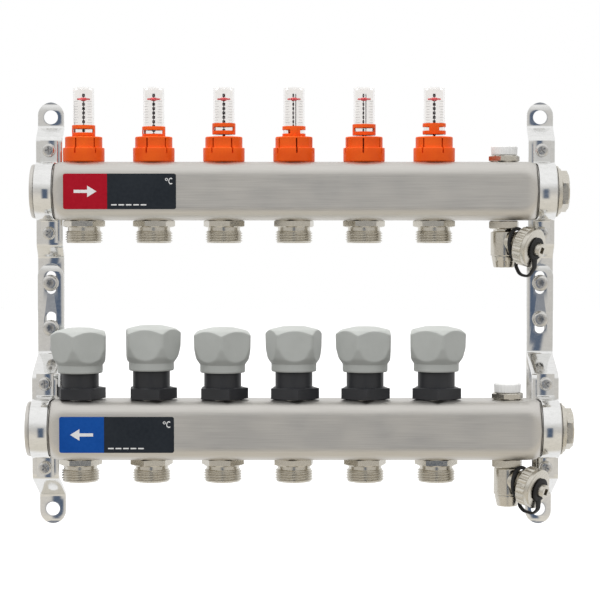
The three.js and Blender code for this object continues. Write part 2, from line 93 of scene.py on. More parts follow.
# ------------------------------------------------------------------ driving dimensions, millimetres

CORNER = 9.5  # of the bar's section
END_ROUNDING = 8.5  # of the bar's sides towards its ends
FACE_ROUNDING = 12.0  # of the flat faces' outlines at the bar's ends
BAR_BODY_END = 171.5
NECK_OPEN_END = 188.0
NECK_PLUG_END = 185.4
NECK_RADIUS = 18.8
COLLAR_RADIUS = 19.25
WALL = 1.5
STRIP_WIDTH = 19.0
STRIP_THICKNESS = 2.5
CLAMP_WIDTH = 12.5
BAND_THICKNESS = 1.2
SEAT_DEPTH = 20.5
CLAMP_SCREW = 30.0
LAP_SCREWS = {-1: (22.8, -10.0), 1: (22.8, -3.5)}

RING_TOP = 38.8  # of the flow meter rings above the supply bar's axis
KNOB_BASE = 39.5  # of a closed valve's knob above the return bar's axis
KNOB_APOTHEM = 17.3
CAP_RADIUS = 13.9  # radius of the hose caps' knurling

RING_SLIT_TURNS = (-19, -17, 27, 8.5, -4, 22)  # degrees from the front, like the turns below
COLLAR_TURNS = (90, 83, 87, 7, 90, -4)
KNOB_TURNS = (-8, 26, 0, 38, -16, 9)
NUT_TURNS = (30, 22, 17, 9, 2, 0)
SPLIT_STEMS = (4, 5)  # meters whose stem is seen edge on, as two lines
OUTLET_TURNS = (0, 8, -12, 20, 4, -7)

FULL_TURN = 2 * math.pi

# ------------------------------------------------------------------ meshes from arrays


def circle_angles(count):
    """Evenly spaced angles round a full turn, the last one left out."""
    return np.arange(count) * FULL_TURN / count


def grid_faces(rows, columns, closed_rows=False):
    """Quads between neighbouring rows of a grid whose columns close on themselves."""
    gaps = rows if closed_rows else rows - 1
    row, column = np.meshgrid(np.arange(gaps), np.arange(columns), indexing="ij")
    next_row = (row + 1) % rows
    next_column = (column + 1) % columns
    quads = [row * columns + column, row * columns + next_column]
    quads += [next_row * columns + next_column, next_row * columns + column]
    return np.stack(quads, -1).reshape(-1, 4)


def signed_volume(points, quads):
    """Volume inside the quads, negative if they face inwards: a . (b x c) / 6 summed over triangles."""
    a, b, c, d = (points[quads[:, k]] for k in range(4))
    first = np.einsum("ij,ij->i", a, np.cross(b, c))
    second = np.einsum("ij,ij->i", a, np.cross(c, d))
    return (first.sum() + second.sum()) / 6


def shade(mesh, sharp=35):
    """Smooth shading that stops at edges sharper than an angle in degrees."""
    mesh.polygons.foreach_set("use_smooth", np.ones(len(mesh.polygons), bool))
    mesh.set_sharp_from_angle(angle=math.radians(sharp))


def piece_from(name, points, quads, material, sharp=35):
    """A closed piece from points in millimetres, with doubles merged, so poles close to triangles."""
    middle = points.mean(0)
    if signed_volume(points - middle, quads) < 0:
        quads = quads[:, ::-1]
    mesh = bpy.data.meshes.new(name)
    mesh.from_pydata((points * MM).tolist(), [], quads.tolist())
    work = bmesh.new()
    work.from_mesh(mesh)
    bmesh.ops.remove_doubles(work, verts=work.verts, dist=2e-7)
    bmesh.ops.dissolve_degenerate(work, edges=work.edges, dist=1e-8)
    work.to_mesh(mesh)
    work.free()
    shade(mesh, sharp)
    mesh.materials.append(material)
    piece = bpy.data.objects.new(name, mesh)
    bpy.context.scene.collection.objects.link(piece)
    return piece


def rounded(corners, closed=False, steps=3):
    """An outline of (x, y, radius) corners, each an arc of its radius that is held to the sides' length."""
    corners = [np.array(corner, float) for corner in corners]
    count = len(corners)
    outline = []
    for i, corner in enumerate(corners):
        radius = corner[2]
        at_end = not closed and i in (0, count - 1)
        if radius <= 0 or at_end:
            outline.append(corner[:2])
            continue
        back = corners[i - 1][:2] - corner[:2]
        onward = corners[(i + 1) % count][:2] - corner[:2]
        back_length, onward_length = np.linalg.norm(back), np.linalg.norm(onward)
        back, onward = back / back_length, onward / onward_length
        half_turn = (math.pi - math.acos(np.clip(back @ onward, -1, 1))) / 2
        reach = min(radius * math.tan(half_turn), 0.49 * back_length, 0.49 * onward_length)
        start, end = corner[:2] + back * reach, corner[:2] + onward * reach
        t = np.linspace(0, 1, steps + 1)[:, None]
        weight = math.cos(half_turn)
        scale = (1 - t) ** 2 + 2 * weight * t * (1 - t) + t**2
        arc = ((1 - t) ** 2 * start + 2 * weight * t * (1 - t) * corner[:2] + t**2 * end) / scale
        outline.extend(arc)
    return np.array(outline)


def path_lengths(path):
    """How far along a path each of its points lies."""
    return np.concatenate([[0], np.cumsum(np.linalg.norm(np.diff(path, axis=0), axis=1))])


def finer(outline, count):
    """An outline with more points, at count even steps along it."""
    lengths = path_lengths(outline)
    s = np.unique(np.concatenate([lengths, np.linspace(0, lengths[-1], count)]))
    return np.stack([np.interp(s, lengths, outline[:, k]) for k in range(2)], -1)


def turned_points(profile, angles, shape=None):
    """A (radius, height) profile carried round +Z; shape(radius, height, angle) may change its radius."""
    radius = np.repeat(profile[:, :1], len(angles), 1)
    height = np.repeat(profile[:, 1:], len(angles), 1)
    around = np.broadcast_to(angles, radius.shape)
    if shape is not None:
        radius = np.where(radius > 0, shape(radius, height, around), 0)
    return np.stack([radius * np.cos(around), radius * np.sin(around), height], -1)


def turned(
    name, profile, material, place, count=48, closed=False, shape=None, angles=None, matrix=None, sharp=35
):
    """A turned piece standing at a place, or turned by a matrix about its foot first."""
    angles = circle_angles(count) if angles is None else angles
    grid = turned_points(np.asarray(profile, float), angles, shape)
    points = grid.reshape(-1, 3)
    if matrix is not None:
        points = points @ np.asarray(matrix).T
    quads = grid_faces(len(grid), len(angles), closed)
    return piece_from(name, points + np.asarray(place, float), quads, material, sharp)


def polygon_limit(sides, apothem, turn=0.0):
    """A radius limit that cuts flat sides: the apothem over the cosine from each flat's middle."""
    step = FULL_TURN / sides

    def limit(radius, height, angle):
        from_flat = (angle - turn) % step - step / 2
        return np.minimum(radius, apothem / np.cos(from_flat))

    return limit


def polygon_angles(sides, per_side, turn=0.0):
    """Angles with one on every corner of a polygon."""
    return turn + circle_angles(sides * per_side)


def flat_prism(
    name, material, place, across, low, high, bore=0.0, turn=0.0, matrix=None, chamfer=0.7, sides=6
):
    """A prism of flats with both faces chamfered by a cone, so that arcs show at the tops of its flats."""
    corner = across / 2 / math.cos(math.pi / sides)
    flat = across / 2
    outside = [(bore, low, 0), (flat - 0.3, low, 0), (corner, low + chamfer, 0.2)]
    outside += [(corner, high - chamfer, 0.2), (flat - 0.3, high, 0), (bore, high, 0)]
    turn = math.radians(turn)
    limit = polygon_limit(sides, flat, turn)
    return turned(
        name,
        rounded(outside, closed=bore > 0, steps=2),
        material,
        place,
        closed=bore > 0,
        shape=limit,
        angles=polygon_angles(sides, 10, turn),
        matrix=matrix,
        sharp=28,
    )


ALONG_X = np.array([[0, 0, 1], [0, 1, 0], [-1, 0, 0]], float)  # turns +Z to +X
FACE_FRONT = np.array([[1, 0, 0], [0, 0, -1], [0, 1, 0]], float)  # turns +Z to -Y


def with_ends(sections):
    """Cross-sections with one more at each end, drawn together into the end's middle."""
    columns = sections.shape[1]
    first, last = (np.repeat(section.mean(0)[None, None], columns, 1) for section in sections[[0, -1]])
    return np.concatenate([first, sections, last])


def section_sweep(name, sections, material, closed=False, sharp=35):
    """A piece whose cross-sections, an array of rows of points, are already in place."""
    if not closed:
        sections = with_ends(sections)
    quads = grid_faces(len(sections), sections.shape[1], closed)
    return piece_from(name, sections.reshape(-1, 3), quads, material, sharp)


def path_frames(path):
    """Unit normals, to the left of a 2-D path, for a mitred offset at each of its points."""
    along = np.diff(path, axis=0)
    along /= np.linalg.norm(along, axis=1)[:, None]
    before = np.concatenate([along[:1], along])
    after = np.concatenate([along, along[-1:]])
    normal_before = np.stack([-before[:, 1], before[:, 0]], -1)
    normal_after = np.stack([-after[:, 1], after[:, 0]], -1)
    together = np.einsum("ij,ij->i", normal_before, normal_after)
    return (normal_before + normal_after) / (1 + together)[:, None]


def strip(name, path, widths, thickness, material, x, edge=0.35, sharp=35):
    """A flat strip: a rounded rectangle of the given widths carried along a path of (y, z) points."""
    normals = path_frames(path)
    half = thickness / 2
    unit = rounded([(-1, -1, edge), (1, -1, edge), (1, 1, edge), (-1, 1, edge)], closed=True, steps=2)
    side = np.sign(unit[:, 0])
    inset = (1 - np.abs(unit[:, 0]))[None, :] * half
    across = side[None, :] * np.maximum(np.asarray(widths)[:, None] / 2 - inset, 0.02)
    up = unit[:, 1][None, :, None] * half * normals[:, None, :]
    yz = path[:, None, :] + up
    sections = np.concatenate([x + across[..., None], yz], -1)
    return section_sweep(name, sections, material, sharp=sharp)


def round_ends(path, width, start=True, end=True, steps=10):
    """The path with more points near its round ends, and the width at each of its points."""
    lengths = path_lengths(path)
    total = lengths[-1]
    half = width / 2
    near = half * (1 - np.cos(np.linspace(0, math.pi / 2, steps)))
    stations = [lengths]
    if start:
        stations.append(near)
    if end:
        stations.append(total - near)
    s = np.unique(np.round(np.concatenate(stations), 4))
    dense = np.stack([np.interp(s, lengths, path[:, k]) for k in range(2)], -1)
    widths = np.full(len(s), width, float)
    for wanted, distance in ((start, s), (end, total - s)):
        if wanted:
            inside = np.clip(distance, 0, half)
            widths = np.minimum(widths, 2 * np.sqrt(np.maximum(half**2 - (half - inside) ** 2, 0)))
    return dense, widths


def cut_away(piece, cutters):
    """Takes the cutters out of a piece with a boolean whose result is kept."""
    for cutter in cutters:
        change = piece.modifiers.new("cut", "BOOLEAN")
        change.operation = "DIFFERENCE"
        change.solver = "EXACT"
        change.object = cutter
    bpy.context.view_layer.update()
    result = bpy.data.meshes.new_from_object(piece.evaluated_get(bpy.context.evaluated_depsgraph_get()))
    piece.modifiers.clear()
    old = piece.data
    piece.data = result
    bpy.data.meshes.remove(old)
    for cutter in cutters:
        bpy.data.meshes.remove(cutter.data)
    shade(result)
    return piece


def plate(name, outline, thickness, material, place):
    """A flat plate in the XZ plane, facing -Y: an outline of (x, z) points with a wall behind it."""
    outline = np.asarray(outline, float)
    front = np.stack([outline[:, 0], np.zeros(len(outline)), outline[:, 1]], -1)
    back = front + [0, thickness, 0]
    return section_sweep(name, np.stack([front, back]) + np.asarray(place, float), material, sharp=30)


# ------------------------------------------------------------------ shader node groups


def new_group(name, inputs, outputs):
    """An empty shader group with named float or colour sockets, and its input and output nodes."""
    group = bpy.data.node_groups.new(name, "ShaderNodeTree")
    for label, kind, value in inputs:
        socket = group.interface.new_socket(label, in_out="INPUT", socket_type="NodeSocket" + kind)
        socket.default_value = value
    for label, kind in outputs:
        group.interface.new_socket(label, in_out="OUTPUT", socket_type="NodeSocket" + kind)
    return group, group.nodes.new("NodeGroupInput"), group.nodes.new("NodeGroupOutput")


def node(tree, kind, **settings):
    """A node of a kind, with its settings and any constant inputs given by socket name."""
    made = tree.nodes.new("ShaderNode" + kind)
    for key, value in settings.items():
        if hasattr(made, key):
            setattr(made, key, value)
        else:
            made.inputs[key.replace("_", " ")].default_value = value
    return made


def arithmetic(tree, operation, first, second=None, third=None):
    """A math node whose inputs are numbers or sockets; returns its output."""
    made = node(tree, "Math", operation=operation)
    for k, value in enumerate((first, second, third)):
        if value is None:
            continue
        if isinstance(value, (int, float)):
            made.inputs[k].default_value = value
        else:
            tree.links.new(value, made.inputs[k])
    return made.outputs[0]


def brushing_group():
    """Fine streaks: noise on object coordinates stretched along one axis, at two scales."""
    inputs = [("Across", "Float", 2600.0), ("Along", "Float", 40.0)]
    group, source, sink = new_group("BrushedStreaks", inputs, [("Streaks", "Float"), ("Cloud", "Float")])
    place = node(group, "TexCoord")
    parts = node(group, "SeparateXYZ")
    group.links.new(place.outputs["Object"], parts.inputs[0])
    stretched = node(group, "CombineXYZ")
    for k, scale in enumerate(("Along", "Across", "Across")):
        scaled = arithmetic(group, "MULTIPLY", parts.outputs[k], source.outputs[scale])
        group.links.new(scaled, stretched.inputs[k])
    fine = node(group, "TexNoise", Scale=1.0, Detail=3.0, Roughness=0.65)
    group.links.new(stretched.outputs[0], fine.inputs["Vector"])
    cloud = node(group, "TexNoise", Scale=38.0, Detail=3.0, Roughness=0.55)
    group.links.new(place.outputs["Object"], cloud.inputs["Vector"])
    group.links.new(fine.outputs["Fac"], sink.inputs["Streaks"])
    group.links.new(cloud.outputs["Fac"], sink.inputs["Cloud"])
    return group


def moulding_group():
    """Moulded plastic: a fine spark texture for bump and slow blotches for colour and gloss."""
    inputs = [("Grain Scale", "Float", 2500.0), ("Blotch Scale", "Float", 45.0)]
    group, source, sink = new_group("MouldedSurface", inputs, [("Grain", "Float"), ("Blotch", "Float")])
    place = node(group, "TexCoord")
    grain = node(group, "TexNoise", Detail=2.0, Roughness=0.5)
    blotch = node(group, "TexNoise", Detail=3.0, Roughness=0.6)
    group.links.new(place.outputs["Object"], grain.inputs["Vector"])
    group.links.new(place.outputs["Object"], blotch.inputs["Vector"])
    group.links.new(source.outputs["Grain Scale"], grain.inputs["Scale"])
    group.links.new(source.outputs["Blotch Scale"], blotch.inputs["Scale"])
    group.links.new(grain.outputs["Fac"], sink.inputs["Grain"])
    group.links.new(blotch.outputs["Fac"], sink.inputs["Blotch"])
    return group


def edge_group():
    """Ridge mask: one on ridges, nothing on flats, broken up by noise; and a hollow mask for painted shade
    in concave places.
    """
    inputs = [("Amount", "Float", 1.0)]
    group, source, sink = new_group("RidgeLiftHollowShade", inputs, [("Edge", "Float"), ("Hollow Shade", "Float")])
    shape = node(group, "NewGeometry")
    place = node(group, "TexCoord")
    noise = node(group, "TexNoise", Scale=420.0, Detail=2.0)
    group.links.new(place.outputs["Object"], noise.inputs["Vector"])
    ridge = node(group, "MapRange", From_Min=0.52, From_Max=0.62)
    group.links.new(shape.outputs["Pointiness"], ridge.inputs["Value"])
    broken = arithmetic(group, "MULTIPLY", ridge.outputs[0], noise.outputs["Fac"])
    group.links.new(arithmetic(group, "MULTIPLY", broken, source.outputs["Amount"]), sink.inputs["Edge"])
    # Painted shade: this mask is one in concave places, where the materials darken their colour.
    hollow = node(group, "MapRange", From_Min=0.48, From_Max=0.40)
    group.links.new(shape.outputs["Pointiness"], hollow.inputs["Value"])
    group.links.new(hollow.outputs[0], sink.inputs["Hollow Shade"])
    return group


BRUSHING = brushing_group()
MOULDING = moulding_group()
RIDGE_AND_HOLLOW_SHADE = edge_group()

# ------------------------------------------------------------------ materials


def new_material(name, rough=0.4, metal=0.0):
    """A material with its Principled shader and tree at hand."""
    material = bpy.data.materials.new(name)
    material.use_nodes = True
    tree = material.node_tree
    shader = tree.nodes["Principled BSDF"]
    shader.inputs["Roughness"].default_value = rough
    shader.inputs["Metallic"].default_value = metal
    return material, tree, shader


def add_group(tree, group, **values):
    """A group node with its own values, given by socket name."""
    return node(tree, "Group", node_tree=group, **values)


def colour_between(tree, mask, dark, light, low=0.3, high=0.7):
    """A colour ramp from dark to light over a mask's middle range."""
    ramp = node(tree, "ValToRGB")
    for stop, position, colour in zip(ramp.color_ramp.elements, (low, high), (dark, light)):
        stop.position = position
        stop.color = (*colour, 1)
    tree.links.new(mask, ramp.inputs[0])
    return ramp.outputs["Color"]


def value_between(tree, mask, low, high):
    """A mask's 0.3 to 0.7 stretched to run from low to high."""
    stretch = node(tree, "MapRange", From_Min=0.3, From_Max=0.7, To_Min=low, To_Max=high)
    tree.links.new(mask, stretch.inputs["Value"])
    return stretch.outputs[0]


def mixed(tree, factor, first, second):
    """Two colours, each a socket or a plain one, mixed by a socket."""
    mix = node(tree, "Mix", data_type="RGBA")
    tree.links.new(factor, mix.inputs["Factor"])
    for socket, value in ((mix.inputs["A"], first), (mix.inputs["B"], second)):
        if isinstance(value, tuple):
            socket.default_value = (*value, 1)
        else:
            tree.links.new(value, socket)
    return mix.outputs["Result"]


def bump(tree, shader, height, strength, distance):
    """Feeds a height to the shader's normal."""
    made = node(tree, "Bump", Strength=strength, Distance=distance)
    tree.links.new(height, made.inputs["Height"])
    tree.links.new(made.outputs[0], shader.inputs["Normal"])


def brushed_metal(name, dark, light, rough, streak_rough, across, along, bump_depth):
    """Metal with streaks along X that change colour and gloss, and a cloudier gloss over them; lighter on
    ridges, with painted shade in hollows.
    """
    material, tree, shader = new_material(name, rough, 1.0)
    streaks = add_group(tree, BRUSHING, Across=across, Along=along)
    edge = add_group(tree, RIDGE_AND_HOLLOW_SHADE, Amount=0.5)
    base = colour_between(tree, streaks.outputs["Streaks"], dark, light)
    lifted = mixed(tree, edge.outputs["Edge"], base, tuple(min(1, 1.12 * c) for c in light))
    # Painted shade: the colour darkens to 0.55 of the dark tone in concave places.
    shaded = mixed(tree, edge.outputs["Hollow Shade"], lifted, tuple(0.55 * c for c in dark))
    tree.links.new(shaded, shader.inputs["Base Color"])
    gloss = value_between(tree, streaks.outputs["Streaks"], rough, streak_rough)
    cloudy = value_between(tree, streaks.outputs["Cloud"], -0.03, 0.05)
    tree.links.new(arithmetic(tree, "ADD", gloss, cloudy), shader.inputs["Roughness"])
    bump(tree, shader, streaks.outputs["Streaks"], 0.35, bump_depth)
    return material


def moulded_plastic(name, dark, light, rough, grain_depth, blotch=45.0, specular=0.4):
    """Moulded plastic or rubber: slow changes of colour and gloss, and a fine grain; lighter on ridges,
    with painted shade in hollows.
    """
    material, tree, shader = new_material(name, rough)
    surface = add_group(tree, MOULDING, Blotch_Scale=blotch)
    edge = add_group(tree, RIDGE_AND_HOLLOW_SHADE, Amount=0.6)
    base = colour_between(tree, surface.outputs["Blotch"], dark, light)
    lifted = mixed(tree, edge.outputs["Edge"], base, tuple(min(1, 1.25 * c + 0.01) for c in light))
    # Painted shade: the colour darkens to 0.6 of the dark tone in concave places.
    shaded = mixed(tree, edge.outputs["Hollow Shade"], lifted, tuple(0.6 * c for c in dark))
    tree.links.new(shaded, shader.inputs["Base Color"])
    gloss = value_between(tree, surface.outputs["Blotch"], rough - 0.05, rough + 0.06)
    tree.links.new(gloss, shader.inputs["Roughness"])
    shader.inputs["Specular IOR Level"].default_value = specular
    bump(tree, shader, surface.outputs["Grain"], 0.3, grain_depth)
    return material


def clear_plastic():
    """Clear, slightly greyed plastic of the sight tubes, with faint drawing streaks in its gloss."""
    material, tree, shader = new_material("clear_sight_plastic", 0.05)
    shader.inputs["Transmission Weight"].default_value = 1.0
    shader.inputs["IOR"].default_value = 1.12
    surface = add_group(tree, MOULDING, Blotch_Scale=120.0)
    tree.links.new(value_between(tree, surface.outputs["Blotch"], 0.03, 0.1), shader.inputs["Roughness"])
    base = colour_between(tree, surface.outputs["Blotch"], (0.88, 0.865, 0.85), (0.93, 0.915, 0.90))
    tree.links.new(base, shader.inputs["Base Color"])
    return material


STAINLESS = brushed_metal(
    "brushed_stainless", (0.62, 0.60, 0.565), (0.72, 0.70, 0.665),
    0.38, 0.46, 2600, 30, 1e-6,
)
PLATED = brushed_metal(
    "bright_plated_steel", (0.78, 0.78, 0.77), (0.86, 0.86, 0.85),
    0.09, 0.14, 500, 260, 1e-6,
)
NICKEL = brushed_metal(
    "nickel_plated_brass", (0.58, 0.55, 0.49), (0.69, 0.66, 0.59),
    0.20, 0.28, 900, 900, 2e-6,
)
SCREW_STEEL = brushed_metal(
    "screw_steel", (0.58, 0.57, 0.55), (0.72, 0.71, 0.69),
    0.18, 0.26, 900, 900, 2e-6,
)
ORANGE = moulded_plastic(
    "orange_meter_plastic", (0.80, 0.085, 0.006), (0.90, 0.125, 0.010),
    0.42, 3e-6, specular=0.2,
)
KNOB_GREY = moulded_plastic(
    "grey_knob_plastic", (0.45, 0.465, 0.445), (0.50, 0.515, 0.495),
    0.5, 6e-6, specular=0.25,
)
BLACK = moulded_plastic("black_valve_plastic", (0.017, 0.018, 0.021), (0.028, 0.029, 0.033), 0.45, 5e-6)
WHITE = moulded_plastic("white_vent_plastic", (0.88, 0.88, 0.87), (0.93, 0.93, 0.92), 0.42, 3e-6)
RUBBER = moulded_plastic("black_rubber", (0.010, 0.010, 0.011), (0.020, 0.020, 0.021), 0.62, 6e-6)
FLOAT_RED = moulded_plastic("float_red_plastic", (0.62, 0.07, 0.08), (0.72, 0.10, 0.11), 0.4, 2e-6)
FLOAT_DARK = moulded_plastic("float_dark_plastic", (0.03, 0.028, 0.03), (0.06, 0.055, 0.06), 0.45, 2e-6)
SCALE_INK = moulded_plastic("scale_ink", (0.30, 0.30, 0.31), (0.38, 0.38, 0.39), 0.6, 1e-6)
LABEL_RED = moulded_plastic(
    "label_red_ink", (0.36, 0.003, 0.014), (0.42, 0.005, 0.019),
    0.4, 1e-6, specular=0.1,
)
LABEL_BLUE = moulded_plastic(
    "label_blue_ink", (0.003, 0.06, 0.30), (0.006, 0.08, 0.36),
    0.4, 1e-6, specular=0.1,
)
LABEL_DARK = moulded_plastic(
    "label_dark_ink", (0.015, 0.019, 0.025), (0.022, 0.027, 0.034),
    0.4, 1e-6, specular=0.1,
)
LABEL_WHITE = moulded_plastic("label_white_ink", (0.76, 0.76, 0.76), (0.84, 0.84, 0.84), 0.4, 1e-6)
CLEAR = clear_plastic()

# ------------------------------------------------------------------ bars

SECTION_ARC = 9


def square_section(half, corner):
    """Points round a rounded square, with an extra point just past each arc so the flats shade flat."""
    centre = half - corner
    arc = np.linspace(0, math.pi / 2, SECTION_ARC)
    support = min(0.8, centre)
    y = np.concatenate([[centre + corner], centre + corner * np.cos(arc), [centre - support]])
    z = np.concatenate([[centre - support], centre + corner * np.sin(arc), [centre + corner]])
    quarter = np.stack([y, z], -1)
    turns = [quarter]
    for _ in range(3):
        last = turns[-1]
        turns.append(np.stack([-last[:, 1], last[:, 0]], -1))
    return np.concatenate(turns)


def bar_stations():
    """Rows of (x, half side, corner radius) along a bar's outside, from the plugged to the open neck."""
    from_end = FACE_ROUNDING * (1 - np.sin(np.linspace(0, math.pi / 2, 14)))
    side = 1 - np.minimum(from_end / END_ROUNDING, 1)
    face = FACE_ROUNDING - from_end
    half = NECK_RADIUS + (BAR_HALF - NECK_RADIUS) * np.sqrt(1 - side**2)
    corner = np.minimum(CORNER + FACE_ROUNDING - np.sqrt(FACE_ROUNDING**2 - face**2), half)
    shoulder = np.stack([BAR_BODY_END - from_end, half, corner], -1)
    neck_foot = (shoulder[-1, 0], NECK_RADIUS)
    flat = np.array([[shoulder[0, 0] - 1.5, BAR_HALF, CORNER]])
    end = NECK_PLUG_END
    plug_rim = [(end, 18.9), (end - 0.15, COLLAR_RADIUS), (end - 0.5, COLLAR_RADIUS)]
    plug_rim = np.array([*plug_rim, (end - 0.6, 19.1), (end - 0.6, NECK_RADIUS), neck_foot])
    end = NECK_OPEN_END
    open_rim = [neck_foot, (end - 2.8, NECK_RADIUS), (end - 2.8, 19.0), (end - 2.4, COLLAR_RADIUS)]
    open_rim = np.array([*open_rim, (end - 1.1, COLLAR_RADIUS), (end - 0.3, 18.8), (end, 17.9)])
    right = [plug_rim[:, [0, 1, 1]], shoulder[::-1], flat]
    left = np.concatenate([flat, shoulder, open_rim[:, [0, 1, 1]]]) * [-1, 1, 1]
    return np.concatenate([*right, left])


def bar(name, axis):
    """The hollow bar: square sections lofted along X, out to the round necks and back along the inside."""
    bore = 15.2
    wide = BAR_HALF - WALL
    inside = [(-NECK_OPEN_END, 16.2, 16.2), (1 - NECK_OPEN_END, bore, bore), (-170.9, bore, bore)]
    inside += [(-167, wide - 2, CORNER), (-158, wide, CORNER - WALL), (158, wide, CORNER - WALL)]
    inside += [(167, wide - 2, CORNER), (170.9, bore, bore), (NECK_PLUG_END, bore, bore)]
    stations = np.concatenate([bar_stations(), np.array(inside, float)])
    sections = []
    for x, half, corner in stations:
        yz = square_section(half, corner)
        sections.append(np.column_stack([np.full(len(yz), x), yz]))
    return section_sweep(name, np.array(sections) + [0, axis[1], axis[2]], STAINLESS, closed=True, sharp=40)


def wall_cutter(x, axis, radius, side):
    """A plain cylinder that cuts a hole through the wall above or below a bar's axis."""
    low, high = sorted((side * (BAR_HALF - WALL - 1.5), side * (BAR_HALF + 1)))
    place = (x, axis[1], axis[2])
    profile = [(0, low), (radius, low), (radius, high), (0, high)]
    return turned("cutter", profile, STAINLESS, place, count=32)


def bar_holes(label, axis, stations):
    """Cutters for the holes that the meters or valves, the outlets, the vent and the drain cock need."""
    top_radius = 7.5 if label == "supply" else 9.8
    cutters = [wall_cutter(SERVICE_X, axis, 4.8, 1), wall_cutter(SERVICE_X, axis, 4.0, -1)]
    for place in stations:
        cutters.append(wall_cutter(place[0], axis, top_radius, 1))
        cutters.append(wall_cutter(place[0], axis, 7.0, -1))
    return cutters


def thread_radius(core, crest, pitch, low, high):
    """A helical thread: the radius goes with height over pitch less the turn, and fades at both ends."""

    def shape(radius, height, angle):
        phase = (height / pitch - angle / FULL_TURN) % 1
        ridge = np.clip(1.35 - 3.4 * np.abs(phase - 0.5), 0, 1)
        fade = np.clip((height - low) / 0.8, 0, 1) * np.clip((high - height) / 0.8, 0, 1)
        threaded = core + (crest - core) * ridge * fade
        return np.where((height > low) & (height < high) & (radius > core - 0.01), threaded, radius)

    return shape


def outlet(name, place, turn):
    """An outlet nipple: hexagon flange and a threaded spigot with a cone seat in its bore."""
    top = -BAR_HALF + 0.3
    flange = flat_prism(name + "_flange", NICKEL, place, 26, -BAR_HALF - 4.8, top, bore=7, turn=turn)
    low, high = -BAR_HALF - 16, -BAR_HALF - 7.6
    rows = [(9.2, low), (12.0, low), (12.55, low + 0.5)]
    rows += [(12.55, height) for height in np.linspace(low + 0.55, high - 0.1, 44)]
    rows += [(12.4, high), (11.5, high + 0.3), (11.5, -BAR_HALF - 4.6)]
    rows += [(7, -BAR_HALF - 4.6), (7, low + 5.5)]
    shape = thread_radius(12.1, 13.2, 1.81, low + 0.4, high)
    spigot = turned(name + "_thread", rows, NICKEL, place, count=40, closed=True, shape=shape, sharp=50)
    return [flange, spigot]


def end_plug(name, axis):
    """The screwed plug at a bar's right end: two ring steps, a seal and a hexagon."""
    place = [0, axis[1], axis[2]]
    rings = [(0, 173, 0), (14.6, 173, 0.3), (14.6, 185.9, 0), (18.2, 185.9, 0.3), (18.2, 187.2, 0.4)]
    rings += [(16.4, 187.2, 0.1), (16.4, 188.9, 0.4), (0, 188.9, 0)]
    body = turned(name + "_rings", rounded(rings), NICKEL, place, count=64, matrix=ALONG_X)
    size = (25.7, 188.5, 194.4)
    head = flat_prism(name + "_head", NICKEL, place, *size, matrix=ALONG_X, turn=8, chamfer=1.0)
    outline = [(15.0, 185.3, 0.1), (17.9, 185.3, 0.2), (17.9, 185.9, 0.2), (15.0, 185.9, 0.1)]
    seal = turned(name + "_seal", rounded(outline, closed=True), RUBBER, place, closed=True, matrix=ALONG_X)
    return [body, head, seal]


def make_bar(label):
    """A bar with its nipples and plug."""
    axis = BARS[label]
    body = BAR_BODY[label]
    joint = "flow_setting_" if label == "supply" else "valve_turn_"
    stations = [joint_place(joint + str(n)) for n in CIRCUITS]
    tube = cut_away(bar(label + "_bar_tube", axis), bar_holes(label, axis, stations))
    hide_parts(label + "_bar")
    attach(tube, body)
    extra_turn = 5 if label == "return" else 0
    for n, place in zip(CIRCUITS, stations):
        for piece in outlet(f"{label}_outlet_{n}", place, OUTLET_TURNS[n - 1] + extra_turn):
            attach(piece, body)
            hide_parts(label + "_bar")
    for piece in end_plug("end_plug_" + label + "_body", axis):
        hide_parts("end_plug_" + label)
        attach(piece, body)


# ------------------------------------------------------------------ labels


def rounded_rectangle(x_low, x_high, z_low, z_high, radii):
    """A rectangle's outline with its own radius at each corner, from the lowest left, anticlockwise."""
    corners = [(x_low, z_low), (x_high, z_low), (x_high, z_high), (x_low, z_high)]
    return rounded([(*corner, radius) for corner, radius in zip(corners, radii)], closed=True, steps=5)


def ring_outline(radius, width, start, end, steps=20):
    """A flat arc's outline, out along its outside and back along its inside, angles in degrees."""
    angles = np.radians(np.linspace(start, end, steps))
    outer = np.stack([np.cos(angles), np.sin(angles)], -1) * radius
    inner = np.stack([np.cos(angles), np.sin(angles)], -1)[::-1] * (radius - width)
    return np.concatenate([outer, inner])


def flat_band(name, outline, material, place):
    """A thin flat shape facing -Y, made of quads between its outer and its inner half."""
    half = len(outline) // 2
    outer, inner = outline[:half], outline[half:][::-1]
    rows = []
    for edge, depth in ((outer, 0), (inner, 0), (inner, 0.12), (outer, 0.12)):
        rows.append(np.stack([edge[:, 0], np.full(half, depth), edge[:, 1]], -1))
    sections = np.stack(rows, 1)
    return section_sweep(name, sections + np.asarray(place, float), material, sharp=30)


LABEL_DROP = {"supply": 0.3, "return": 2.1}


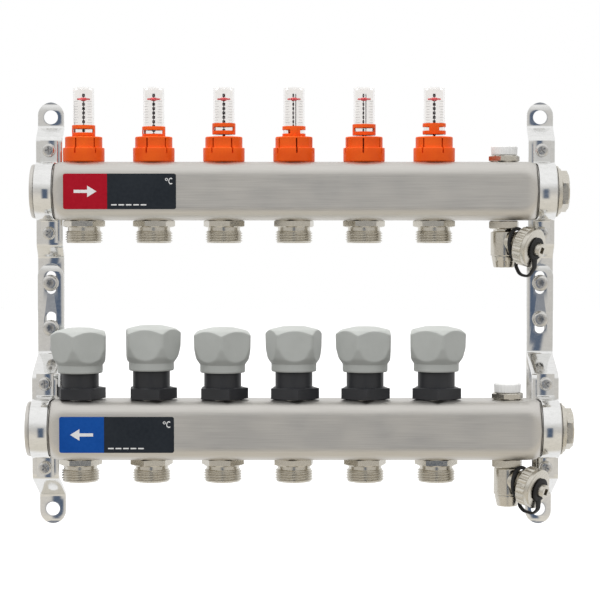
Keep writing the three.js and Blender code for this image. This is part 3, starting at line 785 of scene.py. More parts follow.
def make_label(label):
    """The label on a bar's left front: a coloured field with an arrow, a dark one with a degree mark."""
    axis = BARS[label]
    left, width, height, split = -163.4, 79.5, 25.0, 31.0
    front = axis[1] - BAR_HALF - 0.16
    middle = axis[2] - LABEL_DROP[label]
    low = middle - height / 2
    colour = LABEL_RED if label == "supply" else LABEL_BLUE
    field = rounded_rectangle(left, left + split, low, low + height, (1.5, 0, 0, 1.5))
    dark = rounded_rectangle(left + split, left + width, low, low + height, (0, 1.5, 1.5, 0))
    pieces = [
        plate(f"label_{label}_field", field, 0.3, colour, (0, front, 0)),
        plate(f"label_{label}_dark", dark, 0.3, LABEL_DARK, (0, front, 0)),
    ]
    direction = 1 if label == "supply" else -1
    head = np.array([(1.5, -4), (8, 0), (1.5, 4)]) * [direction, 1]
    stem = np.array([(-8, -1.1), (1.5, -1.1), (1.5, 1.1), (-8, 1.1)]) * [direction, 1]
    centre = (left + split / 2, front - 0.06, middle)
    pieces.append(plate(f"label_{label}_arrow_head", head, 0.12, LABEL_WHITE, centre))
    pieces.append(plate(f"label_{label}_arrow_stem", stem, 0.12, LABEL_WHITE, centre))
    right = left + width
    degree_place = (right - 6.7, front - 0.06, middle + 8.4)
    degree = ring_outline(1.0, 0.45, 0, 359.9)
    pieces.append(flat_band(f"label_{label}_degree", degree, LABEL_WHITE, degree_place))
    letter = ring_outline(2.3, 0.75, 50, 310) * [0.75, 1]
    letter_place = (right - 3.6, front - 0.06, middle + 7.2)
    pieces.append(flat_band(f"label_{label}_unit", letter, LABEL_WHITE, letter_place))
    for k in range(5):
        dash = rounded_rectangle(0, 4.0, 0, 0.9, (0.3,) * 4)
        dash_place = (left + split + 2.8 + 5.2 * k, front - 0.06, low + 2.6)
        pieces.append(plate(f"label_{label}_dash_{k + 1}", dash, 0.12, LABEL_WHITE, dash_place))
    for piece in pieces:
        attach(piece, BAR_BODY[label])


# ------------------------------------------------------------------ brackets, clamps and screws

UPPER_PATH = [(-1.25, 154.3, 0), (-1.25, 135.6, 4), (-12.25, 127, 4)]
UPPER_PATH += [(-12.25, 50.2, 4), (-4.45, 42, 4), (-4.45, -75, 0)]
LOWER_PATH = [(-1.25, -154.3, 0), (-1.25, -132, 4), (-40.25, -115.2, 4)]
LOWER_PATH += [(-40.25, -42.6, 4), (-7.15, -29.2, 4), (-7.15, 37, 0)]


def capsule_cutter(x, y_low, y_high, z_low, z_high, width):
    """A slot cutter: a stadium outline in XZ pushed along Y."""
    radius = width / 2
    arc = np.linspace(0, math.pi, 13)
    top = np.stack([radius * np.cos(arc), z_high - radius + radius * np.sin(arc)], -1)
    bottom = np.stack([-radius * np.cos(arc), z_low + radius - radius * np.sin(arc)], -1)
    outline = np.concatenate([top, bottom])
    rows = []
    for y in (y_low, y_high):
        rows.append(np.stack([outline[:, 0] + x, np.full(len(outline), y), outline[:, 1]], -1))
    return section_sweep("cutter", np.array(rows), PLATED)


def bracket_half(name, corners, x, side, slot_width, clamp_z):
    """Half a bracket: a bent strip with round ends, a wall hole, two slots and the clamp's holes."""
    path, widths = round_ends(rounded(corners, steps=6), STRIP_WIDTH)
    piece = strip(name, path, widths, STRIP_THICKNESS, PLATED, x)
    hole_z = side * 143.5
    cutters = [capsule_cutter(x, -8, 4, hole_z - 5.1, hole_z + 5.1, 10.2)]
    for low, high in ((14.7, 31.5), (-14.0, 1.8)):
        cutters.append(capsule_cutter(x, -14, 2, low, high, slot_width))
    for offset in (-CLAMP_SCREW, CLAMP_SCREW):
        z = clamp_z + offset
        cutters.append(capsule_cutter(x, -50, -8.5, z - 2.6, z + 2.6, 5.2))
    return cut_away(piece, cutters)


def clamp_band(name, axis, x):
    """The omega clamp: a strip over the neck's front, down to an ear each side, as one bent path."""
    radius = COLLAR_RADIUS + 0.9
    ear_y = SEAT_DEPTH - 0.3 - BAND_THICKNESS / 2
    arc = np.linspace(0, math.pi, 33)
    over = np.stack([-radius * np.sin(arc), radius * np.cos(arc)], -1)
    upper = rounded([(ear_y, 37, 0), (ear_y, radius, 1.6), (0.5, radius, 0)], steps=4)
    lower = rounded([(0.5, -radius, 0), (ear_y, -radius, 1.6), (ear_y, -37, 0)], steps=4)
    path = np.concatenate([upper, over, lower]) + [axis[1], axis[2]]
    widths = np.full(len(path), CLAMP_WIDTH)
    return strip(name, path, widths, BAND_THICKNESS, PLATED, x, edge=0.5)


def clamp_liner(name, axis, x):
    """The rubber liner between band and neck, just proud of the band on both sides."""
    half = CLAMP_WIDTH / 2 + 0.1
    outline = [(NECK_RADIUS, -half, 0.1), (COLLAR_RADIUS + 0.2, -half, 0.2)]
    outline += [(COLLAR_RADIUS + 0.2, half, 0.2), (NECK_RADIUS, half, 0.1)]
    place = [x, axis[1], axis[2]]
    return turned(name, rounded(outline, closed=True), RUBBER, place, closed=True, count=64, matrix=ALONG_X)


def cross_limit(arm, width):
    """A radius limit in the shape of a plus sign with the given arm length and width."""

    def limit(radius, height, angle):
        c, s = np.abs(np.cos(angle)), np.abs(np.sin(angle))
        small, large = np.minimum(c, s), np.maximum(c, s)
        reach = np.minimum(arm / large, (width / 2) / np.maximum(small, 1e-6))
        corner = (width / 2) / large
        return np.minimum(radius, np.maximum(reach, corner))

    return limit


def screw(
    name, place, head_radius, head_height, recess, recess_shape, shank_radius, shank_length, turn=0.0
):
    """A screw facing -Y: a shank and a domed head, whose recess follows an outline of its own."""
    arc = np.linspace(0, 1, 8)
    dome_radius = head_radius - (head_radius - recess * 1.25) * arc**1.6
    dome_height = head_height * (0.35 + 0.65 * np.sin(arc * math.pi / 2))
    rows = [(0, -shank_length), (shank_radius - 0.3, -shank_length), (shank_radius, -shank_length + 0.5)]
    rows += [(shank_radius, 0), (head_radius - 0.3, 0), (head_radius, 0.25)]
    rows += list(zip(dome_radius, dome_height))
    top = head_height
    depth = head_height * 0.62
    rows += [(recess, top), (recess, top - depth), (0, top - depth - 0.15)]
    floor = top - depth - 0.2
    edge = recess * 1.2
    angle_turn = math.radians(turn)

    def shape(radius, height, angle):
        inner = (radius < edge) & (height > floor) & (height > 0.1)
        return np.where(inner, recess_shape(radius, height, angle - angle_turn), radius)

    angles = circle_angles(96) + angle_turn
    return turned(name, rows, SCREW_STEEL, place, shape=shape, angles=angles, matrix=FACE_FRONT, sharp=32)


def hex_nut(name, place, across, height, bore):
    """A nut behind a strip, facing -Y."""
    size = (across, 0, height, bore)
    return flat_prism(name, SCREW_STEEL, place, *size, matrix=FACE_FRONT, chamfer=0.5)


def make_clamp(label, side):
    """A clamp with its liner, two pan-head screws and their nuts."""
    axis = BARS[label]
    x = side * CLAMP_X
    end = "left" if side < 0 else "right"
    body = BAR_BODY[label]
    band = clamp_band(f"clamp_band_{label}_{end}", axis, x)
    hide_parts(f"pipe_clamp_{label}_{end}")
    pieces = [(band, "plated_steel"), (clamp_liner(f"clamp_liner_{label}_{end}", axis, x), "rubber")]
    seat_y = axis[1] + SEAT_DEPTH
    cross = cross_limit(2.4, 1.1)
    for k, offset in enumerate((CLAMP_SCREW, -CLAMP_SCREW)):
        place = (x, seat_y - 0.3 - BAND_THICKNESS, axis[2] + offset)
        turn = 20 + 35 * k + 15 * side
        name = f"clamp_screw_{label}_{end}_{k + 1}"
        pieces.append((screw(name, place, 4.9, 2.9, 2.4, cross, 2.45, 9.5, turn), "plated_steel"))
        nut_place = (x, seat_y + STRIP_THICKNESS + 4.2, axis[2] + offset)
        pieces.append((hex_nut(name + "_nut", nut_place, 8, 4, 2.5), "plated_steel"))
    for piece, slot in pieces:
        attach(piece, body)


def make_brackets():
    """Both brackets, each of two halves and two lap screws with nuts."""
    for side in (-1, 1):
        end = "left" if side < 0 else "right"
        x = side * CLAMP_X
        upper = bracket_half(f"bracket_{end}_upper_half", UPPER_PATH, x, 1, 7.0, SUPPLY_AXIS[2])
        lower = bracket_half(f"bracket_{end}_lower_half", LOWER_PATH, x, -1, 9.4, RETURN_AXIS[2])
        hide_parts("upper_bracket_" + end)
        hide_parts("lower_bracket_" + end)
        for piece, body in ((upper, "root"), (lower, "return_assembly")):
            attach(piece, body)
        socket = polygon_limit(6, 2.3)
        for k, z in enumerate(LAP_SCREWS[side]):
            name = f"lap_screw_{end}_{k + 1}"
            head = screw(name, (x, -8.45, z), 6.0, 3.3, 2.7, socket, 2.95, 7.6, turn=12 + 40 * k)
            nut = hex_nut(name + "_nut", (x, -0.25, z), 10, 2.6, 3.0)
            for piece in (head, nut):
                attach(piece, "root")


# ------------------------------------------------------------------ flow meters


def slit_angles(count, turn, slits, half_angle):
    """Even angles with four more at each slit: just outside and just inside both of its walls."""
    centres = turn + circle_angles(slits)
    offsets = np.array([-1.08, -1, 1, 1.08]) * half_angle
    near = (centres[:, None] + offsets).ravel() % FULL_TURN
    base = circle_angles(count)
    gap = np.abs((base[:, None] - near + math.pi) % FULL_TURN - math.pi).min(1)
    return np.sort(np.concatenate([base[gap > half_angle * 0.4], near]))


def meter_ring(name, place, turn):
    """The two-step orange ring with six slits cut through both steps."""
    base, step, top = 20.9, 30.9, RING_TOP
    corners = [(7.8, base, 0), (14.3, base, 0), (14.8, base + 0.7, 0.4), (14.8, step, 0.5)]
    corners += [(13.25, step, 0.15), (13.25, top, 0.8), (9.0, top, 0.4)]
    corners += [(9.0, top - 1.5, 0), (7.8, top - 1.5, 0)]
    outline = rounded(corners, closed=True)
    low, high = 27.0, 37.6
    rows = []
    for start, end in zip(outline, np.roll(outline, -1, 0)):
        rows.append(start)
        for cut in (low, low + 0.05, high - 0.05, high):
            if start[0] > 12 and end[0] > 12 and start[1] < cut < end[1]:
                rows.append(start + (end - start) * (cut - start[1]) / (end[1] - start[1]))
    half_angle = 0.52 / 14
    angle0 = math.radians(turn - 90)

    def shape(radius, height, angle):
        around = (angle - angle0 + math.pi / 6) % (math.pi / 3) - math.pi / 6
        inside = (np.abs(around) < half_angle * 1.02) & (height > low + 0.02) & (height < high - 0.02)
        return np.where(inside & (radius > 12), radius - 4.0, radius)

    angles = slit_angles(72, angle0, 6, half_angle)
    return turned(name, np.array(rows), ORANGE, place, closed=True, shape=shape, angles=angles, sharp=32)


def arc_sections(angles, inner, outer, low, high):
    """The four-cornered cross-sections of an arc of wall round +Z, one at each angle."""
    corners = []
    for radius, z in ((inner, low), (outer, low), (outer, high), (inner, high)):
        across, along = radius * np.cos(angles), radius * np.sin(angles)
        corners.append(np.stack([across, along, np.full(len(angles), z)], -1))
    return np.stack(corners, 1)


def lock_collar(name, place, lift, turn):
    """The windowed collar: a lower ring, an upper ring and two pillars between them, as one turned wall."""
    foot = RING_TOP + lift
    inner, outer, height = 7.6, 8.3, 7.9
    low, high = 2.6, 5.3
    pillar = math.asin(3.65 / outer)
    head = foot + height
    corners = [(inner, foot, 0.1), (outer, foot, 0.25), (outer, head, 0.3), (inner, head, 0.15)]
    sleeve = turned(name, rounded(corners, closed=True), ORANGE, place, closed=True, count=72)
    cutters = []
    for side in (0, math.pi):
        middle = math.radians(turn - 90) + math.pi / 2 + side
        angles = np.linspace(middle - (math.pi / 2 - pillar), middle + (math.pi / 2 - pillar), 24)
        window = arc_sections(angles, 5.0, 11.0, foot + low, foot + high)
        cutters.append(section_sweep("cutter", window + place, ORANGE))
    return cut_away(sleeve, cutters)


def sight_tube(name, place):
    """The clear tube: a wall with a thickness, a domed top, and a rounded end inside it."""
    radius, wall, top, foot = 7.4, 1.1, 73.9, 22
    inner = radius - wall
    corners = [(inner, foot, 0), (radius, foot, 0), (radius, top, 1.0), (0, top, 0)]
    inside = [(0, top - wall), (inner - 0.9, top - wall), (inner, top - wall - 0.9)]
    return turned(name, np.concatenate([rounded(corners), inside, [(inner, foot)]]), CLEAR, place, count=56)


def scale_ticks(name, place):
    """The sight tube's scale: short arcs on the tube, longer at every other step, as one piece."""
    radius, inner, thick = 7.46, 7.36, 0.22
    points, quads = [], []
    for k, height in enumerate(np.arange(48.5, 64.5, 1.9)):
        half = 0.55 if k % 2 == 0 else 0.36
        for side in (-1, 1):
            middle = -math.pi / 2 + side * 0.72
            angles = np.linspace(middle - half / 2, middle + half / 2, 7)
            rows = with_ends(arc_sections(angles, inner, radius, height, height + thick))
            start = sum(len(block) for block in points)
            points.append(rows.reshape(-1, 3))
            quads.append(grid_faces(len(rows), 4) + start)
    return piece_from(name, np.concatenate(points) + place, np.concatenate(quads), SCALE_INK)


def float_stem(name, place, split):
    """The float's stem: an evenly notched column or, seen edge on, a thinner one beside a plain rod."""
    foot, top = 18, 69.4
    thick = 0.65 if split else 1.05
    thin = 0.3 * thick
    rows = [(0, foot), (thick, foot)]
    for height in np.arange(foot + 1.5, top - 1, 3.1):
        rows += [(thick, height), (thin, height + 0.2), (thin, height + 1.0), (thick, height + 1.2)]
    rows += [(thick, top - 0.6), (0.8 * thick, top), (0, top)]
    shift = np.array([-0.5, 0, 0]) if split else 0
    column = turned(name, rows, FLOAT_DARK, place + shift, count=16, sharp=25)
    if not split:
        return [column]
    rod = [(0, foot), (0.3, foot), (0.3, top - 0.3), (0, top)]
    return [column, turned(name + "_rod", rod, FLOAT_DARK, place + [1.3, 0, 0], count=10)]


def float_disc(name, place):
    """The thin red pointer disc with a short hub."""
    corners = [(0.6, 64.4, 0), (1.9, 64.4, 0.2), (2.0, 64.9, 0.1), (4.7, 65.0, 0.25)]
    corners += [(4.7, 66.0, 0.25), (2.0, 66.1, 0.1), (1.9, 66.6, 0.2), (0.6, 66.6, 0)]
    return turned(name, rounded(corners, closed=True), FLOAT_RED, place, closed=True, count=40)


def float_plate(name, place):
    """The baffle plate in the water at the foot of the float."""
    corners = [(0, -6, 0), (5.2, -6, 0.4), (5.2, -4.6, 0.4)]
    corners += [(1.25, -4.6, 0.2), (1.25, 18.2, 0), (0, 18.2, 0)]
    return turned(name, rounded(corners), FLOAT_DARK, place, count=32)


def seat_tube(name, place):
    """The meter's threaded root, which goes through the bar's wall and holds the sight tube."""
    corners = [(6.2, -12, 0.2), (7.4, -12, 0.3), (7.4, 22, 0), (6.2, 22, 0)]
    return turned(name, rounded(corners, closed=True), NICKEL, place, closed=True, count=32)


def make_flow_meter(n):
    """One flow meter: ring, collar, sight tube with its scale, and the float on its stem."""
    place = joint_place(f"flow_setting_{n}")
    low, _ = box_mm(f"lock_collar_{n}")
    lift = low[2] - place[2] - RING_TOP
    ring = meter_ring(f"meter_ring_shell_{n}", place, RING_SLIT_TURNS[n - 1])
    collar = lock_collar(f"lock_collar_sleeve_{n}", place, lift, COLLAR_TURNS[n - 1])
    tube = sight_tube(f"sight_tube_shell_{n}", place)
    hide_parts(f"flow_meter_ring_{n}")
    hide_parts(f"lock_collar_{n}")
    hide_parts(f"sight_tube_{n}")
    stem = float_stem(f"float_stem_{n}", place, n in SPLIT_STEMS)
    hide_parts(f"flow_indicator_{n}")
    rows = [
        (ring, "orange_plastic", f"meter_ring_{n}"),
        (collar, "orange_plastic", f"lock_collar_{n}"),
        (tube, "clear_plastic", "root"),
        (scale_ticks(f"sight_scale_{n}", place), "black_plastic", "root"),
        (seat_tube(f"meter_seat_tube_{n}", place), "nickel_brass", "root"),
        (float_disc(f"float_disc_{n}", place), "indicator_plastic", f"flow_indicator_{n}"),
        (float_plate(f"float_plate_{n}", place), "indicator_plastic", f"flow_indicator_{n}"),
    ]
    rows += [(piece, "indicator_plastic", f"flow_indicator_{n}") for piece in stem]
    for piece, slot, body in rows:
        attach(piece, body)


# ------------------------------------------------------------------ return valves


def smooth_least(first, second, blend):
    """The smaller of two values, rounded where they are within a blend of each other."""
    near = np.maximum(blend - np.abs(first - second), 0) / blend
    return np.minimum(first, second) - near**2 * blend / 4


def knob_shell(name, place, lift, turn):
    """The hand knob: a flared, domed shape of revolution whose sides five flat planes cut away."""
    base = KNOB_BASE
    corners = [(14.2, base, 0.2), (15.4, base, 0.5), (15.8, base + 1, 1.5), (15.8, base + 5.5, 0.8)]
    corners += [(18.7, base + 9.6, 8), (20.5, base + 16.5, 14), (20.8, base + 26.4, 1.6)]
    corners += [(17.0, base + 29.4, 6), (8, base + 31.5, 9), (0, base + 31.9, 0)]
    outline = finer(rounded(corners, steps=6), 90)
    inner = [(0, 54.2), (13.0, 54.2), (13.6, 53.6), (13.6, base + 0.2)]
    rows = np.concatenate([outline, inner])
    rows[:, 1] += lift
    angle0 = math.radians(turn - 90)
    start = base + lift + 5.4

    def shape(radius, height, angle):
        from_flat = (angle - angle0) % (FULL_TURN / 5) - FULL_TURN / 10
        flat = KNOB_APOTHEM / np.cos(from_flat)
        cut = smooth_least(radius, flat, 0.55)
        return np.where((height > start) & (radius > 13.7), cut, radius)

    grid = turned_points(rows, circle_angles(180) + angle0, shape)
    quads = grid_faces(len(grid), 180)
    return piece_from(name, grid.reshape(-1, 3) + place, quads, KNOB_GREY, sharp=50)


def valve_neck(name, place):
    """The black threaded neck that the knob screws down over."""
    corners = [(0, 12, 0), (9.7, 12, 0.4), (9.7, 21.05, 0), (13, 21.05, 0), (13, 47, 0.6), (0, 47, 0)]
    return turned(name, rounded(corners), BLACK, place, count=56)


def valve_pin(name, place):
    """The valve's pin and the seat disc that it presses down, with a rubber face's rounding."""
    corners = [(0, -16, 0), (8, -16, 0.8), (8, -13, 0.8), (3.2, -13, 0.3), (3.2, 53, 0.8), (0, 53, 0)]
    return turned(name, rounded(corners), SCREW_STEEL, place, count=32)


def make_valve(n):
    """One hand valve: union nut, neck, pin and knob."""
    place = joint_place(f"valve_turn_{n}")
    low, _ = box_mm(f"valve_knob_{n}")
    lift = low[2] - place[2] - KNOB_BASE
    knob = knob_shell(f"knob_shell_{n}", place, lift, KNOB_TURNS[n - 1])
    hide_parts(f"valve_knob_{n}")
    nut_turn = NUT_TURNS[n - 1] - 90
    nut = flat_prism(f"valve_nut_{n}", BLACK, place, 29.0, 21.0, 29.5, turn=nut_turn, chamfer=0.6, sides=5)
    neck = valve_neck(f"valve_neck_{n}", place)
    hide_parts(f"valve_body_{n}")
    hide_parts(f"valve_body_{n}")
    collar = flat_prism(f"valve_seat_ring_{n}", NICKEL, place, 23, 19.6, 21.4, turn=10, chamfer=0.3)
    rows = [
        (knob, "grey_plastic", f"valve_knob_{n}"),
        (nut, "black_plastic", "return_assembly"),
        (neck, "black_plastic", "return_assembly"),
        (valve_pin(f"valve_pin_{n}", place), "nickel_brass", "return_assembly"),
        (collar, "nickel_brass", "return_assembly"),
    ]
    for piece, slot, body in rows:
        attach(piece, body)


# ------------------------------------------------------------------ vents and drain cocks


def vent_knob(name, place):
    """The white vent knob: a short fluted cap with a rounded rim."""
    corners = [(0, 19, 0), (2.2, 19, 0), (2.2, 25.8, 0), (9.2, 25.8, 0.5)]
    corners += [(9.5, 31.4, 0.3), (8.6, 32.8, 0.9), (0, 32.8, 0)]
    outline = rounded(corners, steps=4)

    def shape(radius, height, angle):
        flute = 0.1 * np.clip(np.cos(24 * angle) * 2, -1, 1)
        return np.where((radius > 8.9) & (height < 31.5), radius + flute - 0.1, radius)

    return turned(name, outline, WHITE, place, count=144, shape=shape, sharp=40)


def plain_tube(name, place, bore, radius, low, high):
    """A plain nickel-plated tube standing at a place."""
    profile = [(bore, low), (radius, low), (radius, high), (bore, high)]
    return turned(name, profile, NICKEL, place, closed=True, count=32)


def frame_along(along):
    """The matrix that turns +Z to a direction and leaves -X hanging down."""
    along = along / np.linalg.norm(along)
    up = np.array([0, 0, 1.0]) - along * along[2]
    up /= np.linalg.norm(up)
    return np.stack([up, np.cross(along, up), along], -1)


def knurled(count, depth, low, high, least):
    """Straight knurling: the radius falls in count grooves between two heights."""

    def shape(radius, height, angle):
        groove = np.clip((np.cos(count * angle) + 0.25) * 1.6, -1, 1) * 0.5 - 0.5
        inside = (height > low) & (height < high) & (radius > least)
        return np.where(inside, radius + depth * groove, radius)

    return shape


def hose_cap(name, matrix, place):
    """The hose cap: knurled skirt, smooth rim, and a boss with a square socket."""
    corners = [(8.4, 15.8, 0.2), (13.2, 15.8, 0.3), (CAP_RADIUS, 16.4, 0.3)]
    corners += [(CAP_RADIUS, 22.6, 0.2), (13.4, 22.9, 0.1)]
    corners += [(14.0, 23.3, 0.2), (14.0, 26.0, 0.6), (13.2, 26.7, 0.4), (4.6, 26.7, 0.15)]
    corners += [(4.6, 32.6, 0.5), (3.4, 32.6, 0), (3.4, 28.4, 0), (0, 28.3, 0)]
    rows = np.concatenate([[(8.4, 23.4)], rounded(corners), [(0, 23.4)]])
    knurl = knurled(22, 1.0, 16.2, 22.7, 13.0)
    square = polygon_limit(4, 2.2, math.radians(30))

    def shape(radius, height, angle):
        socket = (radius < 3.5) & (height > 28.35)
        return np.where(socket, square(radius, height, angle), knurl(radius, height, angle))

    grid = turned_points(rows, circle_angles(176), shape)
    points = grid.reshape(-1, 3) @ matrix.T + place
    return piece_from(name, points, grid_faces(len(grid), 176, closed_rows=True), NICKEL, sharp=32)


def drain_barrel(name, place, necked):
    """The swivelling barrel, below a narrower octagonal neck when it is necked."""
    foot, top, shoulder = -46.0, -27.1, -29.0
    corners = [(0, foot, 0), (9.0, foot, 0.2), (9.4, foot + 0.6, 0.2)]
    if necked:
        corners += [(9.4, shoulder, 0.4), (7.6, shoulder + 0.5, 0.2), (7.6, top, 0.3), (0, top, 0)]
    else:
        corners += [(9.4, top - 1.1, 0.4), (8.8, top, 0.4), (0, top, 0)]
    octagon = polygon_limit(8, 7.0)

    def shape(radius, height, angle):
        return np.where(necked & (height > shoulder + 0.6), octagon(radius, height, angle), radius)

    return turned(name, rounded(corners), NICKEL, place, angles=polygon_angles(8, 8), shape=shape)


def drain_nut(name, place, castellated):
    """The tapered nut below the barrel: smooth, or with eight flats that notches part at its foot."""
    corners = [(0, -54.25, 0), (6.8, -54.25, 0.3), (7.2, -53.8, 0.3)]
    corners += [(8.6, -47.2, 0.4), (8.6, -46.1, 0.2), (0, -46.1, 0)]
    outline = finer(rounded(corners), 40)
    step = FULL_TURN / 8

    def shape(radius, height, angle):
        from_flat = angle % step - step / 2
        flat = (7.9 + 0.2 * (height + 50)) / np.cos(from_flat)
        notch = (np.abs(from_flat) > 0.36 * step) & (height < -50) & (radius > 6)
        cut = np.where(notch, 0.86 * radius, np.minimum(radius, flat))
        return np.where(height < -46.6, cut, radius)

    angles = polygon_angles(8, 16)
    flats = shape if castellated else None
    return turned(name, outline, NICKEL, place, shape=flats, angles=angles, sharp=28)


def drain_spout(name, matrix, place):
    """The spout: a stub with a flange inside the strap's ring and a thread inside the cap."""
    rows = [(4.5, 2), (8.0, 2), (8.0, 10.6), (9.3, 11.0), (9.3, 12.2), (8.0, 12.6)]
    rows += [(8.0, height) for height in np.linspace(13.1, 22.9, 36)]
    rows += [(7.4, 23), (4.5, 23)]
    shape = thread_radius(7.6, 8.3, 1.3, 13.2, 22.8)
    return turned(name, rows, NICKEL, place, count=48, closed=True, shape=shape, matrix=matrix, sharp=45)


def cap_strap(name, matrix, place, hang):
    """The rubber strap: a ring round the spout, a band that hangs under the cap, a ring round its boss."""
    round_section = circle_angles(14)
    section = np.stack([10.7 + 1.3 * np.cos(round_section), 1.3 * np.sin(round_section)], -1)
    ring_place = place + matrix[:, 2] * 11.5
    upright = frame_along(matrix[:, 2] * [1, 1, 0])
    spout_ring = turned(name + "_spout_ring", section, RUBBER, ring_place, closed=True, matrix=upright)
    washer = [(4.8, 27.0, 0.4), (8.3, 27.0, 0.8), (8.3, 28.8, 0.8), (4.8, 28.8, 0.4)]
    washer = rounded(washer, closed=True)
    boss_ring = turned(name + "_boss_ring", washer, RUBBER, place, closed=True, matrix=matrix)
    low = -CAP_RADIUS - hang
    corners = [(-10.4, 13.9, 0), (-15.6, 14.0, 3), (low, 18.5, 6)]
    corners += [(low + 0.6, 26.4, 5), (-13.5, 29.2, 4), (-6.8, 28.0, 0)]
    path = rounded(corners, steps=8)
    lengths = path_lengths(path)
    widths = 4.0 + 2.6 * (lengths / lengths[-1]) ** 2
    normals = path_frames(path)
    angles = circle_angles(16)
    thickness = 0.95
    across = np.cos(angles)[None, :] * widths[:, None] / 2
    lifted = path[:, None, :] + np.sin(angles)[None, :, None] * thickness * normals[:, None, :]
    sections = np.stack([lifted[..., 0], across, lifted[..., 1]], -1)
    band = section_sweep(name + "_band", sections @ matrix.T + place, RUBBER)
    return [spout_ring, boss_ring, band]


STRAP_HANG = {"supply": 7.0, "return": 4.5}  # of the band below the cap


def make_service(label):
    """The air vent on top of a bar's right end and the drain cock below it."""
    place = joint_place("vent_turn_" + label)
    bar_body = BAR_BODY[label]
    vent_body, cock_body, cap_body = "vent_knob_" + label, "drain_cock_" + label, "hose_cap_" + label
    root = joint_place("cap_turn_" + label)
    matrix = frame_along(np.array(JOINTS["cap_turn_" + label]["axis"], float))
    vent_hex = flat_prism(f"vent_hexagon_{label}", NICKEL, place, 19.9, 21.0, 25.5, turn=12, chamfer=0.7)
    vent_shank = plain_tube(f"vent_shank_{label}", place, 2.6, 4.7, 17, 21.2)
    knob = vent_knob(f"vent_cap_{label}", place)
    nipple = flat_prism(f"drain_hexagon_{label}", NICKEL, place, 19.9, -26.8, -20.9, turn=18)
    spigot = plain_tube(f"drain_spigot_{label}", place, 4, 6.2, -31, -26.6)
    barrel = drain_barrel(f"cock_barrel_{label}", place, label == "supply")
    nut = drain_nut(f"cock_nut_{label}", place, label == "supply")
    spout = drain_spout(f"cock_spout_{label}", matrix, root)
    cap = hose_cap(f"hose_cap_shell_{label}", matrix, root)
    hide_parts("vent_base_" + label)
    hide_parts("vent_knob_" + label)
    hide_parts("drain_nipple_" + label)
    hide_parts("drain_cock_" + label)
    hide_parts("hose_cap_" + label)
    strap = cap_strap("strap_" + label, matrix, root, STRAP_HANG[label])
    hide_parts("cap_strap_" + label)
    rows = [
        (vent_hex, "nickel_brass", bar_body),
        (vent_shank, "nickel_brass", bar_body),
        (knob, "white_plastic", vent_body),
        (nipple, "nickel_brass", bar_body),
        (spigot, "nickel_brass", bar_body),
        (barrel, "nickel_brass", cock_body),
        (nut, "nickel_brass", cock_body),
        (spout, "nickel_brass", cock_body),
        (cap, "nickel_brass", cap_body),
    ]
    rows += [(piece, "rubber", cock_body) for piece in strap]
    for piece, slot, body in rows:
        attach(piece, body)


# ------------------------------------------------------------------ floor, light and camera


def make_stage():
    """A plain pale floor below the manifold."""
    low = CAD_BOX[0][2] - 0.12
    mesh = bpy.data.meshes.new("floor")
    reach = 6.0
    corners = [(-reach, -reach, low), (reach, -reach, low), (reach, reach, low), (-reach, reach, low)]
    mesh.from_pydata(corners, [], [(0, 1, 2, 3)])
    material, tree, shader = new_material("pale_floor", 0.7)
    surface = add_group(tree, MOULDING, Blotch_Scale=1.5)
    base = colour_between(tree, surface.outputs["Blotch"], (0.86, 0.86, 0.86), (0.90, 0.90, 0.90))
    tree.links.new(base, shader.inputs["Base Color"])
    mesh.materials.append(material)
    floor = bpy.data.objects.new("floor", mesh)
    floor.visible_glossy = False
    floor.visible_diffuse = False
    bpy.context.scene.collection.objects.link(floor)


STUDIO_BANDS = (  # sine of the elevation, and the light from there that shiny metal reflects
    (-1.0, (0.72, 0.68, 0.60)),
    (-0.40, (0.78, 0.74, 0.67)),
    (-0.05, (0.62, 0.60, 0.57)),
    (0.20, (0.66, 0.655, 0.64)),
    (0.50, (0.95, 0.95, 0.95)),
    (1.0, (1.0, 1.0, 1.0)),
)
DARK_PATCH = (0.09, 0.125, 0.19)  # the dark thing in front that polished metal shows
PATCH_MIDDLE = -0.17  # sine of its elevation
SKY = (0.95, 0.95, 0.95)
GROUND = (0.30, 0.295, 0.285)  # what lights undersides
CAMERA_PLACE = (0.0033, -1.4, 0.0672)  # metres
CAMERA_TILT = 2.34  # degrees below level
CAMERA_LENS = 114.6


def rising(tree, value, low, high):
    """Nothing below low, one above high, and smooth between."""
    step = node(tree, "MapRange", interpolation_type="SMOOTHSTEP", From_Min=low, From_Max=high)
    tree.links.new(value, step.inputs["Value"])
    return step.outputs[0]


def falling(tree, value, low, high):
    """One below low, nothing above high, and smooth between."""
    return arithmetic(tree, "SUBTRACT", 1.0, rising(tree, value, low, high))


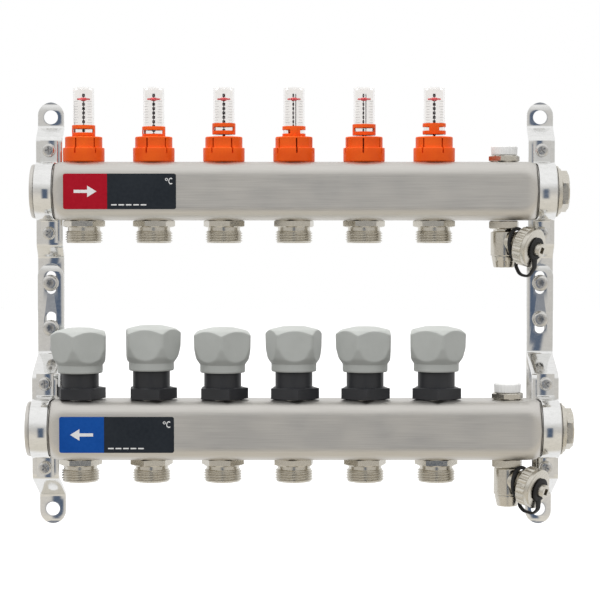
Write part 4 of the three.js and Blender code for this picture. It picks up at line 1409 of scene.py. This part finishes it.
def make_world():
    """White behind, soft light all round, and bands with a dark patch in front for metal to reflect."""
    world = bpy.data.worlds.new("studio")
    bpy.context.scene.world = world
    world.use_nodes = True
    tree = world.node_tree
    background = tree.nodes["Background"]
    place = node(tree, "TexCoord")
    parts = node(tree, "SeparateXYZ")
    ramp = node(tree, "ValToRGB")
    tree.links.new(place.outputs["Generated"], parts.inputs[0])
    tree.links.new(arithmetic(tree, "MULTIPLY_ADD", parts.outputs[2], 0.5, 0.5), ramp.inputs[0])
    ramp.color_ramp.elements.remove(ramp.color_ramp.elements[1])
    for k, (sine, colour) in enumerate(STUDIO_BANDS):
        position = (sine + 1) / 2
        stop = ramp.color_ramp.elements[0] if k == 0 else ramp.color_ramp.elements.new(position)
        stop.position = position
        stop.color = (*colour, 1)
    bands = mixed(tree, rising(tree, parts.outputs[1], -0.1, 0.3), ramp.outputs["Color"], SKY)
    beside = falling(tree, arithmetic(tree, "ABSOLUTE", parts.outputs[0]), 0.08, 0.20)
    level = arithmetic(tree, "ABSOLUTE", arithmetic(tree, "SUBTRACT", parts.outputs[2], PATCH_MIDDLE))
    patch = arithmetic(tree, "MULTIPLY", beside, falling(tree, level, 0.27, 0.36))
    in_front = arithmetic(tree, "MULTIPLY", patch, falling(tree, parts.outputs[1], -0.2, 0.0))
    reflection = mixed(tree, in_front, bands, DARK_PATCH)
    upward = rising(tree, parts.outputs[2], -0.5, 0.9)
    seen = node(tree, "LightPath")
    reflected = mixed(tree, seen.outputs["Is Glossy Ray"], mixed(tree, upward, GROUND, SKY), reflection)
    through = seen.outputs["Is Transmission Ray"]
    straight = arithmetic(tree, "MAXIMUM", seen.outputs["Is Camera Ray"], through)
    tree.links.new(mixed(tree, straight, reflected, (1.0, 1.0, 1.0)), background.inputs["Color"])
    background.inputs["Strength"].default_value = 1.0


def add_light(name, place, target, size, power):
    """A rectangular area light aimed at a point, which metal doesn't reflect."""
    data = bpy.data.lights.new(name, "AREA")
    data.shape = "RECTANGLE"
    data.size, data.size_y = size
    data.energy = power
    lamp = bpy.data.objects.new(name, data)
    lamp.location = place
    lamp.rotation_euler = vector_to_euler(np.array(target) - np.array(place))
    lamp.visible_glossy = False
    bpy.context.scene.collection.objects.link(lamp)


def vector_to_euler(direction):
    """Turns -Z towards a direction, keeping +Y up."""
    x, y, z = direction / np.linalg.norm(direction)
    return (math.pi / 2 + math.asin(z), 0.0, math.atan2(-x, y))


def make_camera():
    """The camera, 1.4 m in front of the wall plane and a little above the middle, tilted slightly down."""
    data = bpy.data.cameras.new("camera")
    data.sensor_width = 36.0
    data.lens = CAMERA_LENS
    data.clip_end = 60
    camera = bpy.data.objects.new("camera", data)
    camera.location = CAMERA_PLACE
    camera.rotation_euler = (math.radians(90 - CAMERA_TILT), 0, 0)
    bpy.context.scene.collection.objects.link(camera)
    bpy.context.scene.camera = camera


def make_lights():
    """A soft key light from the upper left, a fill, a strip above, and one over the floor behind."""
    middle = (0, -0.04, 0)
    add_light("key", (-0.9, -1.5, 1.3), middle, (1.0, 1.0), 9)
    add_light("fill", (1.3, -1.2, 0.3), middle, (0.9, 1.4), 2)
    add_light("top", (-0.1, -0.3, 1.6), middle, (1.6, 0.6), 13)
    add_light("floor_light", (0, 3.6, 2.6), (0, 3.61, 0), (7.0, 4.2), 120)


# ------------------------------------------------------------------ everything

make_camera()
make_stage()
make_world()
make_lights()
bpy.context.scene.view_settings.view_transform = "Standard"

for bar_label in BARS:
    make_bar(bar_label)
    make_label(bar_label)
    make_service(bar_label)
    for bar_end in (-1, 1):
        make_clamp(bar_label, bar_end)
make_brackets()
for circuit in CIRCUITS:
    make_flow_meter(circuit)
    make_valve(circuit)
